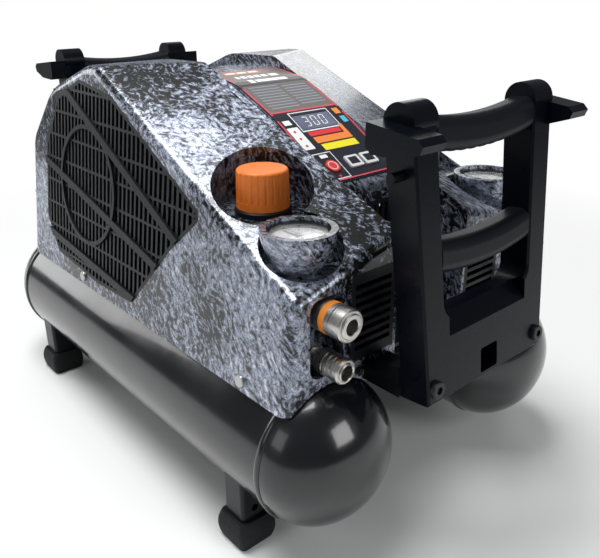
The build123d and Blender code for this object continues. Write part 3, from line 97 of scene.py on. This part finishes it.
def finish_material(name, colour, metallic=0.0, roughness=0.5, coat=0.0, specular=0.5):
    """Plain surface of one colour that the sections below add their own detail to."""
    made = bpy.data.materials.new(name)
    made.use_nodes = True
    shader = made.node_tree.nodes["Principled BSDF"]
    shader.inputs["Base Color"].default_value = (*colour, 1)
    shader.inputs["Metallic"].default_value = metallic
    shader.inputs["Roughness"].default_value = roughness
    shader.inputs["Coat Weight"].default_value = coat
    shader.inputs["Coat Roughness"].default_value = 0.08
    shader.inputs["Specular IOR Level"].default_value = specular
    return made


def step(made, kind, **inputs):
    """Adds a node and sets or links its inputs by name; a tuple (node, socket) is a link."""
    node = made.node_tree.nodes.new("ShaderNode" + kind)
    for key, value in inputs.items():
        key = key.replace("_", " ")
        if isinstance(value, tuple) and len(value) == 2 and hasattr(value[0], "outputs"):
            made.node_tree.links.new(value[0].outputs[value[1]], node.inputs[key])
        else:
            node.inputs[key].default_value = value
    return node


def sum_up(made, operation, first, second):
    """Math node between an output (node, socket) and a second output or a plain number."""
    node = made.node_tree.nodes.new("ShaderNodeMath")
    node.operation = operation
    for socket, value in zip(node.inputs, (first, second)):
        if isinstance(value, tuple):
            made.node_tree.links.new(value[0].outputs[value[1]], socket)
        else:
            socket.default_value = value
    return node


def spread(made, source, output, span, onto=(0.0, 1.0)):
    """Maps an output from its span onto another range."""
    node = step(made, "MapRange", Value=(source, output))
    node.inputs["From Min"].default_value, node.inputs["From Max"].default_value = span
    node.inputs["To Min"].default_value, node.inputs["To Max"].default_value = onto
    return node


def place_of(made, stretch=(1, 1, 1)):
    """Object coordinates of the piece, stretched."""
    where = step(made, "TexCoord")
    return step(made, "Mapping", Vector=(where, "Object"), Scale=stretch)


def feed(made, source, output, socket):
    """Links an output to a socket of the surface shader."""
    shader = made.node_tree.nodes["Principled BSDF"]
    made.node_tree.links.new(source.outputs[output], shader.inputs[socket])


def ramp(made, source, output, *stops):
    """Colour ramp through (position, grey or colour) stops."""
    node = made.node_tree.nodes.new("ShaderNodeValToRGB")
    bands = node.color_ramp.elements
    while len(bands) < len(stops):
        bands.new(0.5)
    for band, (spot, colour) in zip(bands, stops):
        band.position = spot
        colour = (colour,) * 3 if isinstance(colour, (int, float)) else colour
        band.color = (*colour, 1)
    made.node_tree.links.new(source.outputs[output], node.inputs[0])
    return node


def grain(made, scale, depth, low, high, strength=1.0):
    """Fine grain: a noise field shifts the roughness from low to high and lifts the surface."""
    field = step(made, "TexNoise", Vector=(place_of(made), "Vector"), Scale=scale, Detail=5.0)
    feed(made, spread(made, field, "Fac", (0.0, 1.0), (low, high)), "Result", "Roughness")
    lift = step(made, "Bump", Height=(field, "Fac"), Strength=strength, Distance=depth)
    feed(made, lift, "Normal", "Normal")
    return field


def dress(made, *names):
    """Gives CAD nodes their finished material."""
    for name in names:
        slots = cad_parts[name].data.materials
        slots.clear()
        slots.append(made)


floor_finish = finish_material("floor_paper", (0.88, 0.88, 0.88), roughness=0.7)
grain(floor_finish, 60, 0.0002, 0.65, 0.8, 0.2)
reach = step(floor_finish, "VectorMath")
reach.operation = "LENGTH"
wires = floor_finish.node_tree.links
wires.new(place_of(floor_finish).outputs["Vector"], reach.inputs[0])
fade = spread(floor_finish, reach, "Value", (0.35, 1.0))
seen = step(floor_finish, "LightPath")
both = sum_up(floor_finish, "MULTIPLY", (fade, "Result"), (seen, "Is Camera Ray"))
bright = step(floor_finish, "Emission", Color=(1, 1, 1, 1), Strength=1.0)
blend = floor_finish.node_tree.nodes.new("ShaderNodeMixShader")
wires.new(both.outputs[0], blend.inputs[0])
wires.new(floor_finish.node_tree.nodes["Principled BSDF"].outputs[0], blend.inputs[1])
wires.new(bright.outputs[0], blend.inputs[2])
wires.new(blend.outputs[0], floor_finish.node_tree.nodes["Material Output"].inputs["Surface"])
FLOOR_HALF, FLOOR_POINTS, FLOOR_GAP = 4.0, 9, 0.0003
across = np.linspace(-FLOOR_HALF, FLOOR_HALF, FLOOR_POINTS)
floor_x, floor_y = np.meshgrid(across, across)
corner = np.arange(FLOOR_POINTS ** 2).reshape(FLOOR_POINTS, FLOOR_POINTS)
floor_tiles = np.stack([corner[:-1, :-1], corner[:-1, 1:], corner[1:, 1:], corner[1:, :-1]], -1)
floor_mesh = bpy.data.meshes.new("floor")
floor_mesh.from_pydata(
    np.stack([floor_x, floor_y, np.full_like(floor_x, -FLOOR_GAP)], -1).reshape(-1, 3).tolist(), [],
    floor_tiles.reshape(-1, 4).tolist())
floor = bpy.data.objects.new("floor", floor_mesh)
floor_mesh.materials.append(floor_finish)
bpy.context.scene.collection.objects.link(floor)

# --- tanks and frame ----------------------------------------------------------
# Two welded steel tanks under thick gloss black enamel, with saddles and legs
# painted in the same go, so the paint is wavy and shows a soft skin of dust.
enamel = finish_material("black_enamel", (0.004, 0.0045, 0.006), roughness=0.2, coat=0.5)
skin = step(enamel, "TexNoise", Vector=(place_of(enamel), "Vector"), Scale=55.0, Detail=3.0)
dust = step(enamel, "TexNoise", Vector=(place_of(enamel), "Vector"), Scale=14.0, Detail=8.0)
feed(enamel, ramp(enamel, dust, "Fac", (0.35, (0.003, 0.0035, 0.005)), (0.75, (0.008, 0.009, 0.012))),
     "Color", "Base Color")
feed(enamel, ramp(enamel, dust, "Fac", (0.3, 0.14), (0.8, 0.32)), "Color", "Roughness")
feed(enamel, step(enamel, "Bump", Height=(skin, "Fac"), Strength=0.25, Distance=0.0006),
     "Normal", "Normal")
dress(enamel, "tank_left", "tank_right", "tank_saddles", "link_pipes")

leg_paint = finish_material("leg_paint", (0.003, 0.005, 0.006), roughness=0.35, coat=0.1, specular=0.2)
grain(leg_paint, 90, 0.0004, 0.26, 0.42, 0.3)
dress(leg_paint, "foot_legs", "deck_brackets", "chassis_deck")

boot_rubber = finish_material("boot_rubber", (0.010, 0.011, 0.012), roughness=0.7, specular=0.28)
grain(boot_rubber, 260, 0.0003, 0.55, 0.85, 0.4)
dress(boot_rubber, "rubber_feet")

# --- hood -----------------------------------------------------------------------
# Moulded covers dipped in a black and silver film that tears into brushed
# flakes, then lacquered; the centre strip and nose carry the same film. Bare
# black shows where the patches thin out, and hairline tears cross the silver.
FILM_DRIFT = 0.035
BARE, TEAR = (0.010, 0.010, 0.013), (0.010, 0.011, 0.015)
film = finish_material("torn_silver_film", (0.05, 0.05, 0.05), roughness=0.32, coat=0.22)
wander = step(film, "TexNoise", Vector=(place_of(film), "Vector"), Scale=15.0, Detail=2.0)
shift = film.node_tree.nodes.new("ShaderNodeVectorMath")
shift.operation = "MULTIPLY_ADD"
film.node_tree.links.new(wander.outputs["Color"], shift.inputs[0])
shift.inputs[1].default_value = (FILM_DRIFT, FILM_DRIFT, FILM_DRIFT)
film.node_tree.links.new(place_of(film).outputs["Vector"], shift.inputs[2])
swung = step(film, "Mapping", Vector=(shift, "Vector"), Rotation=(0.7, 0.3, 0.5))
strokes = step(film, "Mapping", Vector=(swung, "Vector"), Scale=(270, 300, 140))
flakes = step(film, "TexNoise", Vector=(strokes, "Vector"), Scale=1.0, Detail=7.0,
              Roughness=0.62, Distortion=0.5)
patches = step(film, "TexNoise", Vector=(shift, "Vector"), Scale=10.5, Detail=6.0)
weight = spread(film, patches, "Fac", (0.34, 0.66), (-0.16, 0.055))
together = sum_up(film, "ADD", (flakes, "Fac"), (weight, "Result"))
silver = ramp(film, together, "Value", (0.36, 0.003), (0.425, BARE),
              (0.450, (0.17, 0.20, 0.26)), (0.478, (0.37, 0.41, 0.51)), (0.490, TEAR),
              (0.508, TEAR), (0.524, (0.37, 0.41, 0.52)), (0.558, (0.50, 0.55, 0.67)),
              (0.570, (0.02, 0.022, 0.03)), (0.586, (0.02, 0.022, 0.03)), (0.604, (0.50, 0.55, 0.67)),
              (0.70, (0.70, 0.74, 0.80)))
feed(film, silver, "Color", "Base Color")
feed(film, ramp(film, silver, "Color", (0.03, 0.0), (0.30, 0.65)), "Color", "Metallic")
feed(film, ramp(film, together, "Value", (0.45, 0.24), (0.6, 0.4)), "Color", "Roughness")
feed(film, step(film, "Bump", Height=(together, "Value"), Strength=0.12, Distance=0.0005),
     "Normal", "Normal")
dress(film, "cover_left", "cover_right", "middle_cover", "front_nose")

# --- grilles --------------------------------------------------------------------
# Black moulded slats with a fan ring, clipped into the cover sides and ends,
# in the bare plastic that comes out of the mould.
slat_plastic = finish_material("slat_plastic", (0.004, 0.005, 0.008), roughness=0.36, specular=0.3)
grain(slat_plastic, 420, 0.0002, 0.34, 0.52, 0.35)
dress(slat_plastic, "side_grilles", "vent_panels")

# --- handles --------------------------------------------------------------------
# Ladder frames in satin black paint with a faint blue in it, and soft black
# rubber grips on the rungs.
frame_paint = finish_material("handle_paint", (0.0015, 0.0024, 0.0055), roughness=0.3, coat=0.03,
                              specular=0.15)
grain(frame_paint, 240, 0.00025, 0.22, 0.38, 0.25)
dress(frame_paint, "front_handle", "rear_handle")
grip_skin = finish_material("grip_rubber", (0.003, 0.004, 0.007), roughness=0.42, specular=0.2)
grain(grip_skin, 600, 0.0002, 0.32, 0.5, 0.4)
dress(grip_skin, "upper_grips", "lower_grips")

# --- knobs ----------------------------------------------------------------------
# Fluted regulator knobs over black collars: the left one and the drain knob are
# orange, the right one dark grey.
orange = finish_material("orange_plastic", (0.86, 0.20, 0.018), roughness=0.4)
field = grain(orange, 180, 0.0002, 0.34, 0.5, 0.3)
feed(orange, ramp(orange, field, "Fac", (0.2, (0.80, 0.17, 0.012)), (0.8, (0.90, 0.24, 0.025))),
     "Color", "Base Color")
dress(orange, "regulator_knob_left", "drain_knob")
grey = finish_material("grey_plastic", (0.06, 0.06, 0.065), roughness=0.45)
grain(grey, 180, 0.0002, 0.38, 0.55, 0.3)
dress(grey, "regulator_knob_right")
dress(slat_plastic, "knob_collars", "gauge_cases", "cord_gland", "fan_shrouds", "fan_left", "fan_right")

# --- couplers and fasteners -------------------------------------------------------
# Turned and plated steel couplers, the upper ones with an orange band let into
# the sleeve, and zinc plated screws.
turned = finish_material("turned_steel", (0.62, 0.60, 0.57), metallic=1.0, roughness=0.28)
rings = step(turned, "TexNoise", Vector=(place_of(turned, (1, 60, 1)), "Vector"), Scale=60.0)
feed(turned, ramp(turned, rings, "Fac", (0.3, 0.18), (0.7, 0.4)), "Color", "Roughness")
dress(turned, "sleeve_lower_left", "sleeve_lower_right", "coupler_bodies")

BAND_FRONT, BAND_REAR = -0.2363, -0.2309
banded = finish_material("banded_steel", (0.62, 0.60, 0.57), metallic=1.0, roughness=0.28)
along = step(banded, "SeparateXYZ", Vector=(place_of(banded), "Vector"))
past_front = sum_up(banded, "GREATER_THAN", (along, "Y"), BAND_FRONT)
short_of_rear = sum_up(banded, "LESS_THAN", (along, "Y"), BAND_REAR)
inside = sum_up(banded, "MULTIPLY", (past_front, "Value"), (short_of_rear, "Value"))
feed(banded, ramp(banded, inside, "Value", (0.4, (0.62, 0.60, 0.57)), (0.6, (0.85, 0.27, 0.03))),
     "Color", "Base Color")
feed(banded, ramp(banded, inside, "Value", (0.4, 1.0), (0.6, 0.0)), "Color", "Metallic")
brushed = step(banded, "TexNoise", Vector=(place_of(banded, (1, 60, 1)), "Vector"), Scale=60.0)
feed(banded, ramp(banded, brushed, "Fac", (0.3, 0.2), (0.7, 0.42)), "Color", "Roughness")
dress(banded, "sleeve_upper_left", "sleeve_upper_right")

zinc = finish_material("zinc_plate", (0.5, 0.5, 0.49), metallic=1.0, roughness=0.35)
grain(zinc, 300, 0.0001, 0.28, 0.45, 0.2)
dress(zinc, "cover_screws", "head_bolts")
dark_bolt = finish_material("blackened_bolt", (0.03, 0.03, 0.032), metallic=0.6, roughness=0.4)
grain(dark_bolt, 300, 0.0001, 0.32, 0.5, 0.2)
dress(dark_bolt, "handle_bolts")

# --- pump, fans and electronics behind the grilles -----------------------------------
# Cast aluminium pump and motor, copper pipes, a green board and dark blue
# capacitors, seen only in part between the slats.
cast = finish_material("cast_aluminium", (0.42, 0.43, 0.44), metallic=0.9, roughness=0.5)
grain(cast, 320, 0.0003, 0.42, 0.62, 0.5)
dress(cast, "motor_housing", "end_bells", "crankcases", "cylinder_heads", "outlet_manifolds",
      "inverter", "piston_left", "piston_right")
steel = finish_material("ground_steel", (0.5, 0.5, 0.5), metallic=1.0, roughness=0.3)
grain(steel, 200, 0.0001, 0.22, 0.4, 0.2)
dress(steel, "motor_rotor")
winding = finish_material("varnished_winding", (0.28, 0.10, 0.04), metallic=0.5, roughness=0.35)
grain(winding, 500, 0.0005, 0.3, 0.5, 0.8)
dress(winding, "stator")
copper = finish_material("copper_pipe", (0.72, 0.36, 0.20), metallic=1.0, roughness=0.3)
grain(copper, 150, 0.0001, 0.22, 0.42, 0.2)
dress(copper, "air_pipes")
brass = finish_material("brass", (0.75, 0.56, 0.25), metallic=1.0, roughness=0.32)
grain(brass, 200, 0.0001, 0.25, 0.42, 0.2)
dress(brass, "drain_valve")
board = finish_material("board_mask", (0.02, 0.14, 0.05), roughness=0.4)
grain(board, 700, 0.0002, 0.3, 0.6, 0.5)
dress(board, "control_board")
sleeve_blue = finish_material("capacitor_sleeve", (0.02, 0.03, 0.12), roughness=0.35)
grain(sleeve_blue, 200, 0.0001, 0.3, 0.45, 0.2)
dress(sleeve_blue, "capacitors")

# --- gauges ---------------------------------------------------------------------
# White printed dials facing up under clear lenses, with black ticks, a red
# arc at the full end of the scale and a slim black needle.
dial_paint = finish_material("dial_paint", (0.85, 0.86, 0.85), roughness=0.5)
grain(dial_paint, 300, 0.00005, 0.45, 0.6, 0.1)
dress(dial_paint, "gauge_dials")
ink_black = finish_material("black_ink", (0.01, 0.01, 0.012), roughness=0.45)
grain(ink_black, 400, 0.00005, 0.4, 0.55, 0.1)
dress(ink_black, "gauge_needle_left", "gauge_needle_right")
clear = finish_material("clear_lens", (0.97, 0.99, 1.0), roughness=0.03)
clear.node_tree.nodes["Principled BSDF"].inputs["Transmission Weight"].default_value = 0.95
clear.node_tree.nodes["Principled BSDF"].inputs["Alpha"].default_value = 0.35
haze = step(clear, "TexNoise", Vector=(place_of(clear), "Vector"), Scale=120.0)
feed(clear, ramp(clear, haze, "Fac", (0.3, 0.02), (0.8, 0.07)), "Color", "Roughness")
dress(clear, "gauge_lenses")


def sheet_piece(name, points, made, body):
    """Thin printed piece that rides on a body: a sheet through an (n, m, 3) grid of points."""
    mesh = bpy.data.meshes.new(name)
    count = np.arange(points.shape[0] * points.shape[1]).reshape(points.shape[:2])
    corners = (count[:-1, :-1], count[1:, :-1], count[1:, 1:], count[:-1, 1:])
    faces = np.stack(corners, -1).reshape(-1, 4)
    mesh.from_pydata(points.reshape(-1, 3).tolist(), [], faces.tolist())
    piece = bpy.data.objects.new(name, mesh)
    mesh.materials.append(made)
    bpy.context.scene.collection.objects.link(piece)
    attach(piece, body)
    return piece


def ring_piece(name, centre, inner, outer, start, end, level, made, body, steps=48):
    """Flat arc band (cx + r cos t, cy + r sin t, level), r from inner to outer, t in degrees."""
    angle = np.radians(np.linspace(start, end, steps))[:, None]
    radius = np.array([outer, inner])[None, :]
    return sheet_piece(name, np.stack([centre[0] + radius * np.cos(angle),
                                       centre[1] + radius * np.sin(angle),
                                       np.full((steps, 2), level)], -1)[:, ::-1], made, body)


def join(name, pieces):
    """Makes one piece of several that ride on one body."""
    with bpy.context.temp_override(active_object=pieces[0], selected_editable_objects=pieces):
        bpy.ops.object.join()
    pieces[0].name = name
    return pieces[0]


ink_red = finish_material("red_ink", (0.62, 0.02, 0.03), roughness=0.45)
grain(ink_red, 300, 0.00005, 0.4, 0.55, 0.1)
DIAL_RADIUS = 0.0207
INK_RISE = 0.00008
TICK_OUTER = 0.0175
LONG_TICK, SHORT_TICK = (0.0035, 0.00045), (0.0018, 0.00022)
SCALE_INNER, SCALE_OUTER = 0.0178, 0.0182
LIMIT_INNER, LIMIT_OUTER = 0.0186, 0.0194
TICK_COUNT, TICK_SWEEP = 30, 250
ARC_START, ARC_END, LIMIT_END = -160, 90, -125
for side, node in (("left", "gauge_needle_left"), ("right", "gauge_needle_right")):
    low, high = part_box(node)
    middle = ((low.x + high.x) / 2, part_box("gauge_dials")[0].y + DIAL_RADIUS)
    dial_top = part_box("gauge_dials")[1].z + INK_RISE
    ticks = []
    for index in range(TICK_COUNT + 1):
        angle = math.radians(90 - index * TICK_SWEEP / TICK_COUNT)
        reach, wide = LONG_TICK if index % 5 == 0 else SHORT_TICK
        out = np.array([math.cos(angle), math.sin(angle)])
        aside = np.array([-math.sin(angle), math.cos(angle)])
        spots = np.array([[spot + wide * aside, spot - wide * aside]
                          for spot in ((TICK_OUTER - reach) * out, TICK_OUTER * out)])
        grid = np.concatenate([spots + np.array(middle), np.full((2, 2, 1), dial_top)], -1)
        ticks.append(sheet_piece(f"tick_{side}_{index}", grid[:, ::-1], ink_black, "base"))
    ticks.append(ring_piece(f"scale_arc_{side}", middle, SCALE_INNER, SCALE_OUTER, ARC_START, ARC_END,
                            dial_top, ink_black, "base"))
    join(f"dial_marks_{side}", ticks)
    limit = ring_piece(f"dial_limit_{side}", middle, LIMIT_INNER, LIMIT_OUTER, ARC_START, LIMIT_END,
                       dial_top, ink_red, "base")

# --- control panel ----------------------------------------------------------------
# A printed film on the sloping strip: red border, a dark field with the display
# and keys in front, a warm grey field with plain bars behind.
RIM_INNER = 0.0385
SAME_STATION = 0.00011
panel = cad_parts["control_panel"].data
loose = np.zeros(len(panel.vertices) * 3)
panel.vertices.foreach_get("co", loose)
loose = loose.reshape(-1, 3)
rim = loose[np.abs(loose[:, 0]) > RIM_INNER]
stations = np.unique(np.round(rim[:, 1], 4))
crown = np.array([rim[np.abs(rim[:, 1] - y) < SAME_STATION, 2].max() for y in stations])
PATCH_ALONG, PATCH_ACROSS = 14, 4
FIELD_LIFT, INK_LIFT = 0.00006, 0.00014


def on_panel(x, y, lift):
    """Points over (x, y) that follow the strip's own side profile, lift above it."""
    return np.stack([x, y, np.interp(y, stations, crown) + lift], -1)


def print_patch(name, left, right, front, rear, made, lift):
    """Printed block on the film, x from left to right and y from front to rear, in millimetres."""
    v, u = np.meshgrid(np.linspace(0, 1, PATCH_ALONG), np.linspace(0, 1, PATCH_ACROSS))
    y = (front + (rear - front) * v) / 1000
    x = (left + (right - left) * u) / 1000
    return sheet_piece(name, on_panel(x, y, lift), made, "base")


def ink(name, colour, rough=0.42):
    """Screen printed ink, slightly uneven in gloss."""
    made = finish_material(name, colour, roughness=rough)
    grain(made, 350, 0.00006, rough - 0.06, rough + 0.1, 0.15)
    return made


panel_base = ink("panel_base", (0.018, 0.02, 0.03), 0.35)
dress(panel_base, "control_panel")
warm_grey = ink("warm_grey_ink", (0.15, 0.135, 0.125))
border = ink("border_ink", (0.66, 0.075, 0.11))
cream = ink("cream_ink", (0.84, 0.80, 0.70))
white = ink("white_ink", (0.85, 0.86, 0.87))
amber = ink("amber_ink", (0.86, 0.26, 0.05))
yellow = ink("yellow_ink", (0.88, 0.78, 0.03))
steel_blue = ink("pale_blue_ink", (0.30, 0.35, 0.43))
# Every print has its ink and its blocks, each (left, right, front, rear) in millimetres.
prints = {
    "border": (border, [(-39, -37.2, -150, 12), (37.2, 39, -150, 12), (-39, 39, -152, -150.2),
                        (-39, 39, 10.4, 12.2), (-37.2, 37.2, -76.5, -74.6)]),
    "field": (warm_grey, [(-37.2, 37.2, -74.6, 10.4)]),
    "title": (cream, [(-28, -17, 1, 6), (-15, -4, 1, 6), (-2, 9, 1, 6)]),
    "title_edge": (amber, [(-30, 11, -0.8, 0.2), (-30, 11, 6.8, 7.8), (-30, -29, 0.2, 6.8),
                           (10, 11, 0.2, 6.8)]),
    "name_bars": (white, [(-27, -23, -15, -8), (-21, -15, -15, -8), (-13, -7, -15, -8), (-5, 1, -15, -8),
                          (3, 9, -15, -8), (12, 22, -15, -8), (-22, -16, -29, -21), (-14, 22, -28, -22)]),
    "text_lines": (steel_blue, [(-32, 0, y, y + 1.1) for y in range(-70, -36, 4)]
                   + [(4, 33, y, y + 1.1) for y in range(-68, -36, 4)]),
    "lamp_block": (white, [(-36.4, -24.5, -118, -94), (-35, -27, -91, -86)]),
    "red_bar": (ink("red_bar_ink", (0.72, 0.04, 0.05)), [(-19, 18, -105.6, -101)]),
    "orange_bar": (amber, [(-18, 24, -113.5, -107), (19.5, 24, -107, -98)]),
    "yellow_bar": (yellow, [(-16, 24, -121.5, -115)]),
    "display_frame": (white, [(-22.6, -21.6, -99.6, -78.6), (21.6, 22.6, -99.6, -78.6),
                              (-22.6, 22.6, -100.2, -99), (-22.6, 22.6, -79.2, -78.2)]),
    "power_frame": (white, [(-34.5, -33.7, -150, -123), (-14.3, -13.5, -150, -123),
                            (-34.5, -13.5, -150, -149.2), (-34.5, -13.5, -123.8, -123),
                            (-28, -20, -128.4, -125)]),
    "side_tags": (ink("cyan_ink", (0.10, 0.48, 0.62)), [(29, 35, -97, -90)]),
    "corner_tags": (amber, [(28, 35, -87, -80)]),
}
for name, (made, blocks) in prints.items():
    lift = FIELD_LIFT if name == "field" else INK_LIFT
    parts = [print_patch(f"{name}_{index}", *block, made, lift) for index, block in enumerate(blocks)]
    join("print_" + name, parts) if len(parts) > 1 else parts[0]

glass_dark = finish_material("display_glass", (0.05, 0.055, 0.09), roughness=0.08, coat=0.6)
glow = step(glass_dark, "TexNoise", Vector=(place_of(glass_dark), "Vector"), Scale=25.0)
feed(glass_dark, ramp(glass_dark, glow, "Fac", (0.3, (0.10, 0.11, 0.17)), (0.75, (0.22, 0.24, 0.34))),
     "Color", "Base Color")
dress(glass_dark, "display_window")
key_white = ink("key_white", (0.72, 0.73, 0.74))
dress(key_white, "pressure_key", "mode_key")
key_red = ink("key_red", (0.66, 0.05, 0.05))
dress(key_red, "power_key")
lamp_red = ink("lamp_red", (0.7, 0.06, 0.05), 0.2)
dress(lamp_red, "panel_lamps")

STRIP_NOSE = np.array([0.0, -0.158, 0.262])
STRIP_KNEE = np.array([0.0, -0.080, 0.309])
slope_angle = math.atan2(STRIP_KNEE[2] - STRIP_NOSE[2], STRIP_KNEE[1] - STRIP_NOSE[1])
across_slope = np.array([1.0, 0.0, 0.0])
slope_along = np.array([0.0, math.cos(slope_angle), math.sin(slope_angle)])
slope_out = np.array([0.0, -math.sin(slope_angle), math.cos(slope_angle)])


def slope_patch(name, left, right, front, rear, run, rise, made, body, shear=0.0):
    """Flat block on the slope, its middle run millimetres up from the nose and rise above it."""
    v, u = np.meshgrid(np.array([front, rear]) / 1000, np.array([left, right]) / 1000)
    points = (STRIP_NOSE + (u + shear * v)[..., None] * across_slope
              + (v[..., None] + run / 1000) * slope_along + rise / 1000 * slope_out)
    return sheet_piece(name, points, made, body)


# The bars of a digit, each (left, right, front, rear) in millimetres round its middle.
SEGMENTS = {"a": (-2, 2, 5.3, 6.3), "g": (-2, 2, -0.5, 0.5), "d": (-2, 2, -6.3, -5.3),
            "f": (-3, -2, 0.6, 5.6), "b": (2, 3, 0.6, 5.6), "e": (-3, -2, -5.6, -0.6),
            "c": (2, 3, -5.6, -0.6)}
DISPLAY_RUN, DISPLAY_TOP, DIGIT_SHEAR = 80.0, 1.25, 0.08
figures = []
for spot, lit in ((-10.0, "abgcd"), (-0.5, "abcdef"), (9.0, "abcdef")):
    for part in lit:
        x0, x1, y0, y1 = SEGMENTS[part]
        figures.append(slope_patch(f"digit_{spot}_{part}", x0 + spot, x1 + spot, y0, y1, DISPLAY_RUN,
                                   DISPLAY_TOP, white, "base", DIGIT_SHEAR))
join("display_digits", figures)

KEY_RUN, KEY_TOP = 25.0, 2.72
PAD_HALF, PAD_FRONT, PAD_REAR = 5, -3.8, 4.2
for node, body, middle_x in (("pressure_key", "pressure_button", 1.0), ("mode_key", "mode_button", 19.0)):
    cap = slope_patch(f"{node}_pad", middle_x - PAD_HALF, middle_x + PAD_HALF, PAD_FRONT, PAD_REAR,
                      KEY_RUN, KEY_TOP, panel_base, body)
POWER_X, POWER_RUN = -0.024, 0.0245
RING_INNER, RING_OUTER, RING_STEPS = 0.0040, 0.0047, 24
ring_middle = (STRIP_NOSE + POWER_X * across_slope + POWER_RUN * slope_along
               + KEY_TOP / 1000 * slope_out)
ringed = []
for index in range(RING_STEPS):
    spokes = [math.cos(angle) * across_slope + math.sin(angle) * slope_along
              for angle in np.radians([index * 360 / RING_STEPS, (index + 1) * 360 / RING_STEPS])]
    grid = np.array([[ring_middle + radius * spoke for radius in (RING_INNER, RING_OUTER)]
                     for spoke in spokes])
    ringed.append(sheet_piece(f"ring_{index}", grid, cream, "power_button"))
join("power_ring", ringed)
